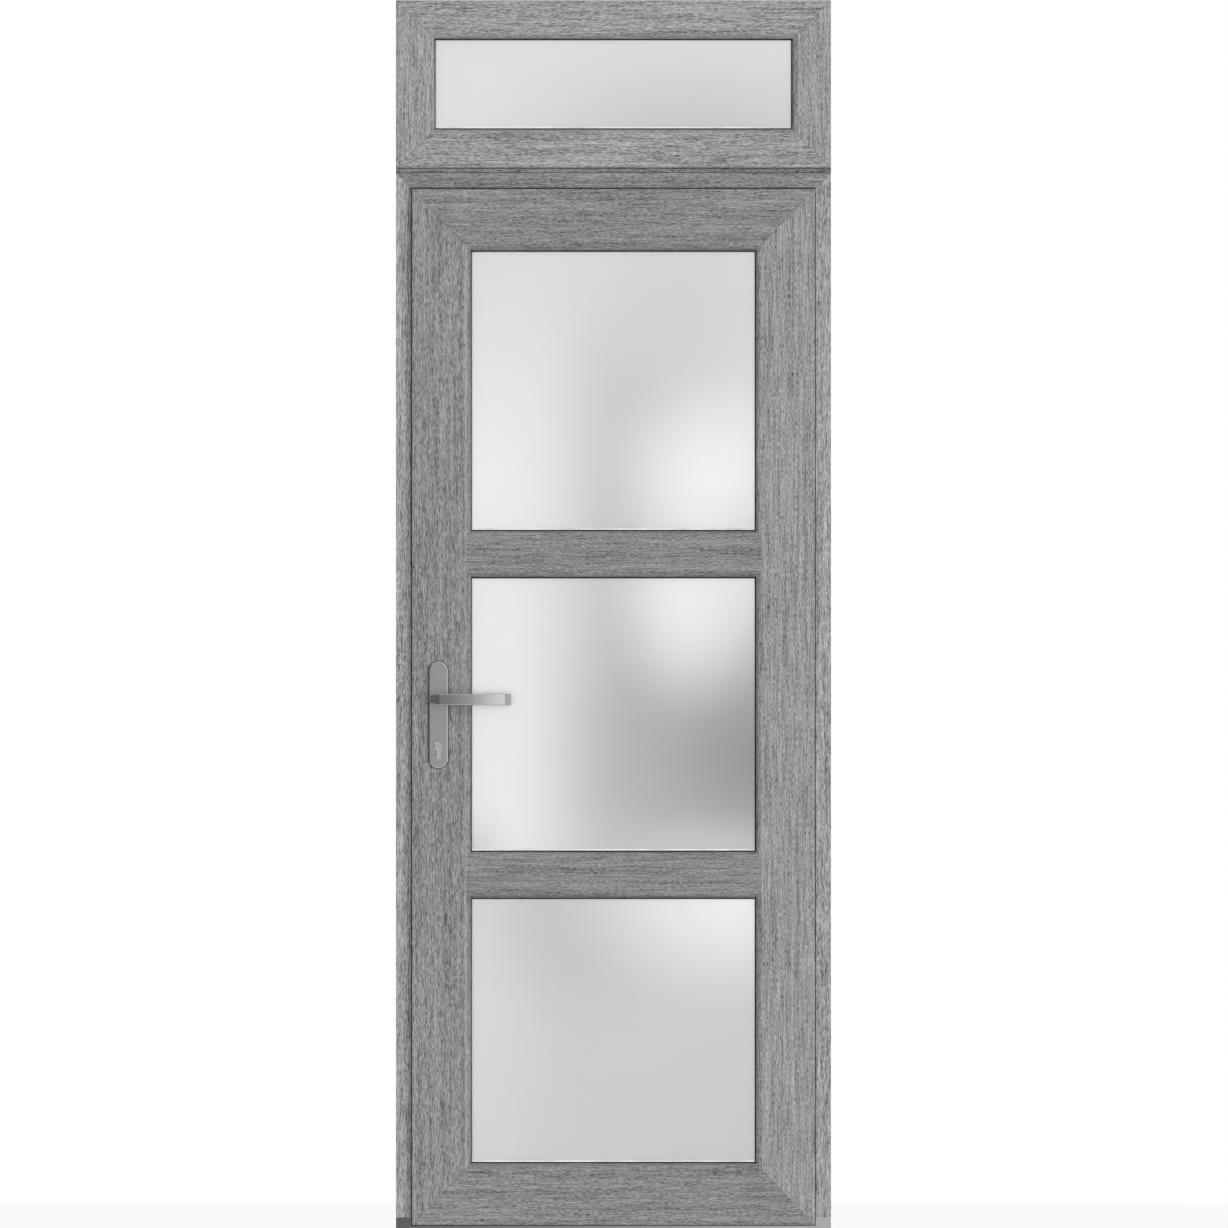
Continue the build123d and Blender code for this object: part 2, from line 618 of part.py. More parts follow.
def lever(y_plate, outward):
    """A bowed flat lever: a round neck, a chamfered heel, the grip and a turned-back end."""

    def at(x, out):
        return (SPINDLE_X + x, y_plate + outward * out)

    front = LEVER_PROJECTION
    rear = front - LEVER_BAR
    grip_end = LEVER_LENGTH - LEVER_END_FACET
    heel_front = LEVER_HEEL_FACET - LEVER_HEEL
    end_drop = LEVER_END_FACET
    heel_root = front - LEVER_HEEL_FACET
    outline = [
        Line(at(-LEVER_HEEL, LEVER_CLEAR), at(-LEVER_HEEL, heel_root)),
        Line(at(-LEVER_HEEL, heel_root), at(heel_front, front)),
        ThreePointArc(
            at(heel_front, front), at((heel_front + grip_end) / 2, front + LEVER_BOW), at(grip_end, front)
        ),
        Line(at(grip_end, front), at(LEVER_LENGTH, front - end_drop)),
        Line(at(LEVER_LENGTH, front - end_drop), at(LEVER_LENGTH - LEVER_BAR, front - end_drop)),
        Line(at(LEVER_LENGTH - LEVER_BAR, front - end_drop), at(grip_end - LEVER_BAR / 2, rear)),
        ThreePointArc(
            at(grip_end - LEVER_BAR / 2, rear),
            at((LEVER_NECK_HALF + grip_end) / 2, rear + LEVER_BOW),
            at(LEVER_NECK_HALF + LEVER_BAR / 2, rear),
        ),
        Line(at(LEVER_NECK_HALF + LEVER_BAR / 2, rear), at(LEVER_NECK_HALF, LEVER_CLEAR + LEVER_BAR / 2)),
        Line(at(LEVER_NECK_HALF, LEVER_CLEAR + LEVER_BAR / 2), at(LEVER_NECK_HALF, LEVER_CLEAR)),
        Line(at(LEVER_NECK_HALF, LEVER_CLEAR), at(-LEVER_HEEL, LEVER_CLEAR)),
    ]
    plan = Pos(0, 0, SPINDLE_Z - LEVER_HEIGHT / 2) * make_face(outline)
    bar = extrude(plan, amount=LEVER_HEIGHT, dir=(0, 0, 1))
    heel, far = SPINDLE_X - LEVER_HEEL, SPINDLE_X + LEVER_LENGTH + LEVER_BAR
    shoulder = SPINDLE_X + heel_front
    half, low = LEVER_HEIGHT / 2, LEVER_HEEL_HEIGHT / 2
    profile = [(heel, low), (shoulder, half), (far, half), (far, -half), (shoulder, -half), (heel, -low)]
    bar &= slab([(x, SPINDLE_Z + z) for x, z in profile], -FAR, FAR)
    bar = fillet(bar.edges(), LEVER_EDGE)
    ends = sorted((y_plate - outward * NECK_INTO_PLATE, y_plate + outward * (LEVER_CLEAR + LEVER_EDGE)))
    bar += rod_y(NECK_RADIUS, SPINDLE_X, SPINDLE_Z, *ends)
    half = SPINDLE_SIDE / 2 + SOCKET_CLEARANCE
    inner = y_plate - outward * NECK_INTO_PLATE
    socket = sorted((inner - outward, inner + outward * SOCKET_DEPTH))
    return bar - block(
        SPINDLE_X - half, SPINDLE_X + half, *socket, SPINDLE_Z - half, SPINDLE_Z + half
    )


def make_handles():
    """A backplate and a lever on each face of the leaf, on one square spindle."""
    outside, inside = LEAF_FRONT - PLATE_THICK, LEAF_BACK + PLATE_THICK
    save("outside_backplate", backplate(LEAF_FRONT, -1))
    save("inside_backplate", backplate(LEAF_BACK, 1))
    save("outside_lever", lever(outside, -1))
    save("inside_lever", lever(inside, 1))
    half = SPINDLE_SIDE / 2
    reach = SOCKET_DEPTH - NECK_INTO_PLATE
    ends = (outside - reach, inside + reach)
    save("spindle", block(SPINDLE_X - half, SPINDLE_X + half, *ends, SPINDLE_Z - half, SPINDLE_Z + half))


make_threshold()
make_frame()
make_keepers()
make_toplight()
make_leaf()
glaze_leaf()
make_seals()
make_hinges()
make_lock()
make_handles()

os.makedirs("parts", exist_ok=True)
for name, solids in parts.items():
    export_step(Compound(children=solids) if len(solids) > 1 else solids[0], f"parts/{name}.step")
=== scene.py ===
"""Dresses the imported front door: foil, satin glass, satin metal, seals, a brush, screws and a stage."""

import json
import math
import random

import bmesh
import bpy
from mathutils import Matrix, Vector


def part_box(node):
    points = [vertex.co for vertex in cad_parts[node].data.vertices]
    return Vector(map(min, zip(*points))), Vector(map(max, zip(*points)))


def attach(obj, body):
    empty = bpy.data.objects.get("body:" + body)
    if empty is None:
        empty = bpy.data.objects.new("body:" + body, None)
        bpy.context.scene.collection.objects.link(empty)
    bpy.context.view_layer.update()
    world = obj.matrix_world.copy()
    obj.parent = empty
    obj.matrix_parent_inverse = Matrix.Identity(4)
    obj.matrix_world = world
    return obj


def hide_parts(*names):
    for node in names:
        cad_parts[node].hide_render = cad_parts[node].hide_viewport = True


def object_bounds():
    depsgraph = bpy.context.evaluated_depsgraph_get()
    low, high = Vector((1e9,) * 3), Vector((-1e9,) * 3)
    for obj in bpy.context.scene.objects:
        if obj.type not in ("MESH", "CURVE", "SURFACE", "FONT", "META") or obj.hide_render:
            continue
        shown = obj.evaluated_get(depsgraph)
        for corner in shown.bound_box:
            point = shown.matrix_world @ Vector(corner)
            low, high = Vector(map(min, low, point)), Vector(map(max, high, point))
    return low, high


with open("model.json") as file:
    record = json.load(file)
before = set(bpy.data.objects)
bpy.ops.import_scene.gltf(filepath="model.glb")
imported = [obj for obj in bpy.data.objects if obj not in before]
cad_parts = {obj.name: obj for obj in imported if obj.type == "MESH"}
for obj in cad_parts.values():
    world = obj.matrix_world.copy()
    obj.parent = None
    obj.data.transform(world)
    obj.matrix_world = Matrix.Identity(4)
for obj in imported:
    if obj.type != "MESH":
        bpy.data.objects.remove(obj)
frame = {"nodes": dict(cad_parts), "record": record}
CAD_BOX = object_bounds()

bl_info = {
    "name": "Front door dressing",
    "version": (1, 1, 0),
    "blender": (4, 5, 0),
    "location": "View3D > Sidebar > Door",
    "description": "Foil, glass, metal, seals and screws for a prehung front door with a toplight",
    "category": "Object",
}

MM = 0.001
NODES = frame["nodes"]
MOUNTS = {mount["name"]: mount for mount in frame["record"]["mounts"]}
JOINTS = {joint["name"]: joint for joint in frame["record"]["behaviour"]["joints"]}
PIVOT = JOINTS["lever_turn"]["pos_m"]
UP = Vector((0, 0, 1))

# CAD nodes that share a finish
JAMBS = ("lock_jamb", "hinge_jamb")
TOPLIGHT_UPRIGHTS = ("toplight_left_jamb", "toplight_right_jamb")
TOPLIGHT_LEVELS = ("toplight_head", "toplight_sill")
RAILS = ("frame_head", "top_rail", "bottom_rail")
MID_RAILS = ("upper_mid_rail", "lower_mid_rail")
OPENINGS = ("toplight", "upper", "middle", "lower")
GASKETS = ("toplight_gasket", "leaf_gaskets")
SPACERS = ("leaf_spacers", "toplight_spacer")
LEVERS = ("outside_lever", "inside_lever")
BACKPLATES = ("outside_backplate", "inside_backplate")
ZINC_PLATED = ("hinge_frame_halves", "hinge_leaf_halves", "keepers", "lock_edge_strip", "spindle")

# Each lamp's strength, tilt and turn in degrees: tilt 90 is level, and turn 0 faces the door's front
LAMPS = {
    "key": (2.0, 84, 15),
    "fill": (1.6, 72, 180),
    "right": (0.7, 80, 90),
    "left": (1.3, 80, -110),
}

# Each pane's tone and its soft patches of painted light and shade: tone, strength, middle and reach across
# and up, in metres
PANES = {
    "toplight": ("#EEEEEE", [("#D6D6D6", 1.0, (0.16, 2.12), (0.50, 0.28))]),
    "upper": (
        "#ECECEC",
        [
            ("#E0E0E0", 1.0, (0.13, 1.80), (0.34, 0.30)),
            ("#DCDCDC", 0.9, (0.06, 1.62), (0.24, 0.26)),
            ("#D4D4D4", 1.0, (0.00, 1.40), (0.20, 0.40)),
            ("#FDFDFD", 0.9, (-0.29, 1.44), (0.34, 0.46)),
            ("#FDFDFD", 1.0, (0.20, 1.47), (0.26, 0.24)),
            ("#E8E8E8", 0.6, (0.28, 1.36), (0.12, 0.12)),
        ],
    ),
    "middle": (
        "#F8F8F8",
        [
            ("#D4D4D4", 1.0, (0.02, 1.00), (0.24, 1.60)),
            ("#A3A3A4", 1.0, (0.27, 0.92), (0.44, 0.46)),
            ("#FAFAFA", 1.0, (0.145, 1.24), (0.19, 0.28)),
            ("#DADADA", 0.7, (0.16, 0.73), (0.34, 0.10)),
            ("#DCDCDC", 0.8, (-0.29, 0.73), (0.12, 0.12)),
        ],
    ),
    "lower": (
        "#DBDBDB",
        [
            ("#E8E8E8", 0.9, (-0.29, 0.46), (0.24, 0.80)),
            ("#D0D0D0", 0.9, (-0.06, 0.60), (0.24, 0.26)),
            ("#FDFDFD", 1.0, (0.25, 0.66), (0.44, 0.26)),
            ("#D7D7D7", 0.8, (0.25, 0.14), (0.36, 0.36)),
        ],
    ),
}


def linear(code):
    """An sRGB hex colour as linear RGBA."""
    channels = [int(code[i : i + 2], 16) / 255 for i in (1, 3, 5)]
    return [c / 12.92 if c <= 0.04045 else ((c + 0.055) / 1.055) ** 2.4 for c in channels] + [1.0]


def shaded(tone, factor):
    """A linear colour made darker or paler by a factor."""
    return [min(1.0, channel * factor) for channel in tone[:3]] + [1.0]


def add(tree, kind, settings=None, inputs=None, stops=()):
    """Adds one shader node with its settings, its values or links and, for a ramp, its stops."""
    made = tree.nodes.new("ShaderNode" + kind)
    for key, value in (settings or {}).items():
        setattr(made, key, value)
    for index, (position, tone) in enumerate(stops):
        marks = made.color_ramp.elements
        mark = marks[index] if index < len(marks) else marks.new(1.0)
        mark.position = position
        mark.color = tone
    for key, value in (inputs or {}).items():
        if isinstance(value, bpy.types.NodeSocket):
            tree.links.new(value, made.inputs[key])
        else:
            made.inputs[key].default_value = value
    return made


def blank(name):
    """A material with an empty node tree, and that tree."""
    material = bpy.data.materials.new(name)
    material.use_nodes = True
    material.node_tree.nodes.clear()
    return material, material.node_tree


def surface(name, inputs):
    """A material with one principled shader, its node tree and the shader."""
    material, tree = blank(name)
    shader = add(tree, "BsdfPrincipled", None, inputs)
    add(tree, "OutputMaterial", None, {"Surface": shader.outputs["BSDF"]})
    return material, tree, shader


def stretched(tree, across, along, axis, offset=0.0):
    """Object coordinates in streaks: across and along are the streak's sizes in metres."""
    coords = add(tree, "TexCoord").outputs["Object"]
    scale = [1 / across] * 3
    scale["XYZ".index(axis)] = 1 / along
    moved = {"Vector": coords, "Location": [offset] * 3, "Scale": scale}
    return add(tree, "Mapping", None, moved).outputs["Vector"]


def uprights(tree, low, high):
    """One on the uprights of a ring of mitred bars and nought on its level bars, from the ring's box."""
    place = add(tree, "SeparateXYZ", None, {"Vector": add(tree, "TexCoord").outputs["Object"]}).outputs
    past = []
    for axis in (0, 2):
        middle = (low[axis] + high[axis]) / 2
        away = add(tree, "Math", {"operation": "SUBTRACT"}, {0: place[axis], 1: middle}).outputs[0]
        away = add(tree, "Math", {"operation": "ABSOLUTE"}, {0: away}).outputs[0]
        edge = {0: away, 1: (high[axis] - low[axis]) / 2}
        past.append(add(tree, "Math", {"operation": "SUBTRACT"}, edge).outputs[0])
    return add(tree, "Math", {"operation": "GREATER_THAN"}, {0: past[0], 1: past[1]}).outputs[0]


def dress(material, nodes):
    """Gives CAD nodes a material."""
    for name in nodes:
        slots = NODES[name].material_slots
        for slot in slots:
            slot.material = material
        if not slots:
            NODES[name].data.materials.append(material)


def ash_foil(name, tone, axis, offset, highlight_line=None, ring=None):
    """Ash foil laminated on rigid PVC and embossed: matt, with streaks pressed in along the bar.

    A painted highlight is a pale upright line along the stile's edge, given by its place along X, its half
    width and the depth it ends at. On a ring of bars, given by its box, the grain turns at the mitres.
    """
    looks = bpy.context.scene.door_looks
    material, tree, shader = surface(name, {"Roughness": 0.58, "Specular IOR Level": 0.3})
    wide = looks.grain_width
    # Pores, long streaks and slow bands: size across, size along and share. Real pores are about 0.3 mm
    # wide, and these are drawn coarser so that they show from the front
    layers = (
        (wide, looks.grain_length, 1.0),
        (1.1 * wide, 5 * looks.grain_length, 0.4),
        (7 * wide, 40 * looks.grain_length, 0.16),
    )
    upright = uprights(tree, *ring) if ring else None
    streaks = None
    for index, (across, along, share) in enumerate(layers):
        place = stretched(tree, across, along, axis, offset + 7 * index)
        if ring:
            turned_up = stretched(tree, across, along, "Z", offset + 7 * index)
            ways = {0: upright, 4: place, 5: turned_up}
            place = add(tree, "Mix", {"data_type": "VECTOR"}, ways).outputs[1]
        noise = add(tree, "TexNoise", None, {"Vector": place, "Scale": 1.0, "Detail": 2.5, "Roughness": 0.6})
        if streaks is None:
            pores = noise.outputs["Fac"]
            streaks = pores
        else:
            mixed = {0: share, 2: streaks, 3: noise.outputs["Fac"]}
            streaks = add(tree, "Mix", {"data_type": "FLOAT"}, mixed).outputs[0]
    reach = looks.grain_spread
    stops = (
        (0.5 - reach, shaded(tone, 1 - looks.grain_contrast)),
        (0.5, list(tone)),
        (0.5 + reach, shaded(tone, 1 + looks.grain_contrast)),
    )
    colour = add(tree, "ValToRGB", None, {"Fac": streaks}, stops).outputs["Color"]
    # Painted highlight: a paler line where the stile's edge would catch the light
    if highlight_line:
        place, half, depth = highlight_line
        spot = add(tree, "SeparateXYZ", None, {"Vector": add(tree, "TexCoord").outputs["Object"]}).outputs
        away = add(tree, "Math", {"operation": "SUBTRACT"}, {0: spot["X"], 1: place}).outputs[0]
        away = add(tree, "Math", {"operation": "ABSOLUTE"}, {0: away}).outputs[0]
        band = {"Value": away, "From Max": half, "To Min": looks.painted_highlight, "To Max": 0.0}
        highlight_mask = add(tree, "MapRange", {"interpolation_type": "SMOOTHSTEP"}, band).outputs["Result"]
        outer = add(tree, "Math", {"operation": "LESS_THAN"}, {0: spot["Y"], 1: depth}).outputs[0]
        highlight_mask = add(tree, "Math", {"operation": "MULTIPLY"}, {0: highlight_mask, 1: outer}).outputs[0]
        highlight_tone = shaded(tone, 1.9)
        paler = {0: highlight_mask, 6: colour, 7: highlight_tone}
        colour = add(tree, "Mix", {"data_type": "RGBA"}, paler).outputs[2]
    bump = add(tree, "Bump", None, {"Strength": 0.3, "Distance": 0.2 * MM, "Height": pores})
    tree.links.new(colour, shader.inputs["Base Color"])
    tree.links.new(bump.outputs["Normal"], shader.inputs["Normal"])
    return material


def satin_glass(name, tone, light_and_shade):
    """Acid-etched float glass: milky, passing light without a view, with painted soft light and shade for
    what shows through it and what it mirrors.
    """
    shine = {"Roughness": 0.3, "IOR": 1.52, "Transmission Weight": 0.85, "Specular IOR Level": 0.4}
    material, tree, shader = surface(name, shine)
    coords = add(tree, "TexCoord").outputs["Object"]
    colour = linear(tone)
    for shade, strength, middle, reach in light_and_shade:
        # Ten metres of depth keep a painted patch the same all through the pane
        spot = {
            "Vector": coords,
            "Location": (middle[0], 0.0, middle[1]),
            "Scale": (reach[0], 10.0, reach[1]),
        }
        local = add(tree, "Mapping", {"vector_type": "TEXTURE"}, spot).outputs["Vector"]
        ball = add(tree, "TexGradient", {"gradient_type": "SPHERICAL"}, {"Vector": local}).outputs["Fac"]
        soft = {"Value": ball, "To Max": strength}
        share = add(tree, "MapRange", {"interpolation_type": "SMOOTHSTEP"}, soft).outputs["Result"]
        both = {0: share, 6: colour, 7: linear(shade)}
        colour = add(tree, "Mix", {"data_type": "RGBA"}, both).outputs[2]
    # Etched grit, drawn coarser than the real tenth of a millimetre so that it shows close up
    grit = add(tree, "TexNoise", None, {"Vector": coords, "Scale": 1 / (1.2 * MM), "Detail": 2.0})
    bump = add(tree, "Bump", None, {"Strength": 0.06, "Distance": 0.05 * MM, "Height": grit.outputs["Fac"]})
    tree.links.new(colour, shader.inputs["Base Color"])
    tree.links.new(bump.outputs["Normal"], shader.inputs["Normal"])
    return material


def float_glass(name):
    """Clear low-iron float glass of the room side: smooth, with the faintest waviness."""
    shine = {"Roughness": 0.02, "IOR": 1.52, "Transmission Weight": 1.0, "Base Color": linear("#FFFFFF")}
    material, tree, shader = surface(name, shine)
    coords = add(tree, "TexCoord").outputs["Object"]
    wave = add(tree, "TexNoise", None, {"Vector": coords, "Scale": 1 / (120 * MM), "Detail": 1.0})
    bump = add(tree, "Bump", None, {"Strength": 0.02, "Distance": 0.2 * MM, "Height": wave.outputs["Fac"]})
    tree.links.new(bump.outputs["Normal"], shader.inputs["Normal"])
    return material


def brushed_metal(name, tone, rough, axis, width=0.4, contrast=0.06, fade=None):
    """Brushed metal: fine lines along one way, a little paler and smoother or duller from line to line.

    A fade is a painted reflection: it darkens one end of a long bar, and is given by both ends along X and
    the share left at the first.
    """
    material, tree, shader = surface(name, {"Metallic": 1.0})
    # Lines as wide as given in millimetres, coarser than the real twentieth so that they show close up
    lines = stretched(tree, width * MM, 80 * width * MM, axis)
    noise = add(tree, "TexNoise", None, {"Vector": lines, "Scale": 1.0, "Detail": 2.0, "Roughness": 0.6})
    brushing = noise.outputs["Fac"]
    stops = ((0.3, shaded(tone, 1 - contrast)), (0.7, shaded(tone, 1 + contrast)))
    colour = add(tree, "ValToRGB", None, {"Fac": brushing}, stops).outputs["Color"]
    # Painted reflection: the tone darkens towards one end of the bar
    if fade:
        dark, pale, share = fade
        place = add(tree, "SeparateXYZ", None, {"Vector": add(tree, "TexCoord").outputs["Object"]}).outputs
        along = {"Value": place["X"], "From Min": dark, "From Max": pale, "To Min": share}
        left = add(tree, "MapRange", None, along).outputs["Result"]
        multiply = {"data_type": "RGBA", "blend_type": "MULTIPLY"}
        colour = add(tree, "Mix", multiply, {0: 1.0, 6: colour, 7: left}).outputs[2]
    spread = {"Value": brushing, "From Min": 0.3, "From Max": 0.7}
    spread.update({"To Min": rough - 0.04, "To Max": rough + 0.06})
    dull = add(tree, "MapRange", None, spread).outputs["Result"]
    bump = add(tree, "Bump", None, {"Strength": 0.05, "Distance": 0.02 * MM, "Height": brushing})
    tree.links.new(colour, shader.inputs["Base Color"])
    tree.links.new(dull, shader.inputs["Roughness"])
    tree.links.new(bump.outputs["Normal"], shader.inputs["Normal"])
    return material


def moulded(name, tone, rough, grit):
    """Moulded or extruded plastic or rubber: even, with a fine grain and faint dusty patches."""
    material, tree, shader = surface(name, {"Roughness": rough, "Specular IOR Level": 0.3})
    coords = add(tree, "TexCoord").outputs["Object"]
    # Grain as wide as given in millimetres, coarser than the real fifth so that it shows close up
    grain = add(tree, "TexNoise", None, {"Vector": coords, "Scale": 1 / (grit * MM), "Detail": 3.0})
    patch = add(tree, "TexNoise", None, {"Vector": coords, "Scale": 1 / (60 * grit * MM), "Detail": 2.0})
    stops = ((0.35, shaded(tone, 0.85)), (0.65, shaded(tone, 1.15)))
    colour = add(tree, "ValToRGB", None, {"Fac": patch.outputs["Fac"]}, stops).outputs["Color"]
    bump = add(tree, "Bump", None, {"Strength": 0.15, "Distance": 0.05 * MM, "Height": grain.outputs["Fac"]})
    tree.links.new(colour, shader.inputs["Base Color"])
    tree.links.new(bump.outputs["Normal"], shader.inputs["Normal"])
    return material


def looked_at(tree):
    """One for rays from the camera, from metal and through glass, and nought for the rest."""
    path = add(tree, "LightPath").outputs
    seen = {0: path["Is Camera Ray"], 1: path["Is Glossy Ray"]}
    seen = add(tree, "Math", {"operation": "MAXIMUM"}, seen).outputs[0]
    seen = {0: seen, 1: path["Is Transmission Ray"]}
    return add(tree, "Math", {"operation": "MAXIMUM"}, seen).outputs[0]


def put(name, shape, material):
    """A new object with the mesh of a shape and one material."""
    mesh = bpy.data.meshes.new(name)
    shape.to_mesh(mesh)
    shape.free()
    mesh.materials.append(material)
    piece = bpy.data.objects.new(name, mesh)
    bpy.context.scene.collection.objects.link(piece)
    return piece


def make_object(name, shape, material, body, stands_for=None):
    """A new piece that rides on a body, takes its finish from a slot and may stand for a CAD node."""
    sharp = math.radians(40)
    bmesh.ops.recalc_face_normals(shape, faces=shape.faces)
    piece = put(name, shape, material)
    piece.data.set_sharp_from_angle(angle=sharp)
    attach(piece, body)
    if stands_for:
        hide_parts(stands_for)


def bridge(shape, here, there, smooth=False):
    """Joins two loops of points with a band of faces."""
    for i in range(len(here)):
        j = (i + 1) % len(here)
        face = shape.faces.new((here[i], here[j], there[j], there[i]))
        face.smooth = smooth


def turned(shape, centre, axis, rings, sides=32, ring_shaped=False):
    """Adds a turned form: each ring is its height and its radius, or a radius for each angle.

    A form that is ring-shaped runs back from its last ring to its first, and any other is capped.
    """
    up = UP if abs(axis.dot(UP)) < 0.5 else Vector((1, 0, 0))
    side = axis.cross(up)
    loops = []
    for height, radius in rings:
        loop = []
        for i in range(sides):
            angle = 2 * math.pi * i / sides
            out = radius(angle) if callable(radius) else radius
            place = centre + axis * height + up * (out * math.cos(angle)) + side * (out * math.sin(angle))
            loop.append(shape.verts.new(place))
        loops.append(loop)
    for low, high in zip(loops, loops[1:]):
        bridge(shape, low, high, smooth=True)
    if ring_shaped:
        bridge(shape, loops[-1], loops[0], smooth=True)
    else:
        shape.faces.new(loops[0])
        shape.faces.new(loops[-1])


def screw_head(shape, centre, axis, radius, stands):
    """Adds a low domed screw head with a six-lobed socket."""

    def socket(angle):
        return radius * (0.40 + 0.07 * math.cos(6 * angle))

    rings = [
        (0.0, radius),
        (0.35 * stands, radius),
        (0.75 * stands, 0.90 * radius),
        (stands, 0.68 * radius),
        (stands, socket),
        (0.15 * stands, socket),
    ]
    turned(shape, centre, axis, rings, 36)


def strip(shape, stations, outline, closed):
    """Adds a strip past stations of a place and a way in, with an outline of (way in, depth) points."""
    loops = []
    for (x, z), (dx, dz) in stations:
        loops.append([shape.verts.new((x + dx * inset, depth, z + dz * inset)) for inset, depth in outline])
    for here, there in zip(loops, loops[1:]):
        bridge(shape, here, there, smooth=True)
    if closed:
        bridge(shape, loops[-1], loops[0], smooth=True)
    else:
        shape.faces.new(loops[0])
        shape.faces.new(loops[-1])


def strip_piece(name, stations, outline, closed, material, body, stands_for=None):
    """A piece that is one strip, closed round or with two ends."""
    shape = bmesh.new()
    strip(shape, stations, outline, closed)
    make_object(name, shape, material, body, stands_for)


def corners(x0, x1, z0, z1):
    """The corners of an upright rectangle, in turn, with their ways in."""
    return [((x0, z0), (1, 1)), ((x1, z0), (-1, 1)), ((x1, z1), (-1, -1)), ((x0, z1), (1, -1))]


def round_ended(low, high, steps=12):
    """Stations round an upright plate with half-round ends, with their ways in."""
    radius = (high[0] - low[0]) / 2
    stations = []
    for middle, start in ((high[2] - radius, 0), (low[2] + radius, math.pi)):
        for i in range(steps + 1):
            angle = start + math.pi * i / steps
            out = (math.cos(angle), math.sin(angle))
            place = (low[0] + radius + radius * out[0], middle + radius * out[1])
            stations.append((place, (-out[0], -out[1])))
    return stations


def bulb(width, foot, tip):
    """Outline of a seal with a flat foot and a round bulb, between two depths."""
    rise = tip - foot
    points = [(0, foot), (0, foot + 0.18 * rise), (0.12 * width, foot + 0.24 * rise)]
    for i in range(13):
        angle = math.radians(200 - 220 * i / 12)
        across = width * (0.5 + 0.46 * math.cos(angle))
        points.append((across, foot + rise * (0.55 + 0.45 * math.sin(angle))))
    return points + [(0.88 * width, foot + 0.24 * rise), (width, foot + 0.18 * rise), (width, foot)]


def hinge_heights(sizes):
    """The middle height of each of the three hinges, from the ends of their plates."""
    low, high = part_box("hinge_frame_halves")
    first = low[2] + sizes.hinge_length / 2
    last = high[2] - sizes.hinge_length / 2
    return (first, (first + last) / 2, last)


class DoorLooks(bpy.types.PropertyGroup):
    """Colours and grain of the door's finishes."""

    toplight_foil: bpy.props.FloatVectorProperty(
        name="Toplight foil",
        description="Foil of the toplight's frame",
        default=linear("#949496"),
        size=4,
        subtype="COLOR",
    )
    jamb_foil: bpy.props.FloatVectorProperty(
        name="Jamb foil",
        description="Foil of the door frame's jambs",
        default=linear("#9A9A9C"),
        size=4,
        subtype="COLOR",
    )
    # Painted shade: the lock stile's foil is set darker than the hinge stile's, as if in shade
    lock_foil_shaded: bpy.props.FloatVectorProperty(
        name="Lock stile foil",
        description="Foil of the stile with the handle",
        default=linear("#878789"),
        size=4,
        subtype="COLOR",
    )
    # Painted light: the hinge stile's foil is set paler, as if lit from the hinge side
    hinge_foil_lit: bpy.props.FloatVectorProperty(
        name="Hinge stile foil",
        description="Foil of the stile with the hinges",
        default=linear("#929294"),
        size=4,
        subtype="COLOR",
    )
    rail_foil: bpy.props.FloatVectorProperty(
        name="Rail foil",
        description="Foil of the leaf's rails and the frame head",
        default=linear("#838385"),
        size=4,
        subtype="COLOR",
    )
    # Painted shade: the recessed coupling strip's foil is set darker, for the shade in its groove
    coupler_foil_shaded: bpy.props.FloatVectorProperty(
        name="Coupler foil",
        description="Foil of the strip under the toplight",
        default=linear("#7B7B7D"),
        size=4,
        subtype="COLOR",
    )
    grain_width: bpy.props.FloatProperty(
        name="Grain width", description="Width of a pressed streak", default=1.15 * MM, unit="LENGTH"
    )
    grain_length: bpy.props.FloatProperty(
        name="Grain length", description="Length of a pressed streak", default=8 * MM, unit="LENGTH"
    )
    grain_spread: bpy.props.FloatProperty(
        name="Grain spread",
        description="How far the streaks run from dark to pale",
        default=0.145,
        subtype="FACTOR",
    )
    grain_contrast: bpy.props.FloatProperty(
        name="Grain contrast",
        description="Depth of the darkest and palest streaks",
        default=1.0,
        subtype="FACTOR",
    )
    # Strength of the painted highlight line on the lock stile
    painted_highlight: bpy.props.FloatProperty(
        name="Rubbed edge",
        description="Strength of the pale line on the lock stile",
        default=0.4,
        subtype="FACTOR",
    )
    metal: bpy.props.FloatVectorProperty(
        name="Handle metal",
        description="Satin metal of the handles and plates",
        default=linear("#BABABA"),
        size=4,
        subtype="COLOR",
    )
    threshold_metal: bpy.props.FloatVectorProperty(
        name="Threshold metal",
        description="Mill finish of the threshold",
        default=linear("#A6A6A7"),
        size=4,
        subtype="COLOR",
    )
    # The painted reflection's share of the threshold's tone left at its lock end
    threshold_reflection_fade: bpy.props.FloatProperty(
        name="Threshold fade",
        description="Share of the threshold's tone left at its lock end",
        default=0.36,
        subtype="FACTOR",
    )
    zinc: bpy.props.FloatVectorProperty(
        name="Zinc plate",
        description="Plating of the hinges, keepers and lock strip",
        default=linear("#B4B6B8"),
        size=4,
        subtype="COLOR",
    )
    rubber: bpy.props.FloatVectorProperty(
        name="Rubber",
        description="Gaskets and weather seals",
        default=linear("#1A1A1C"),
        size=4,
        subtype="COLOR",
    )


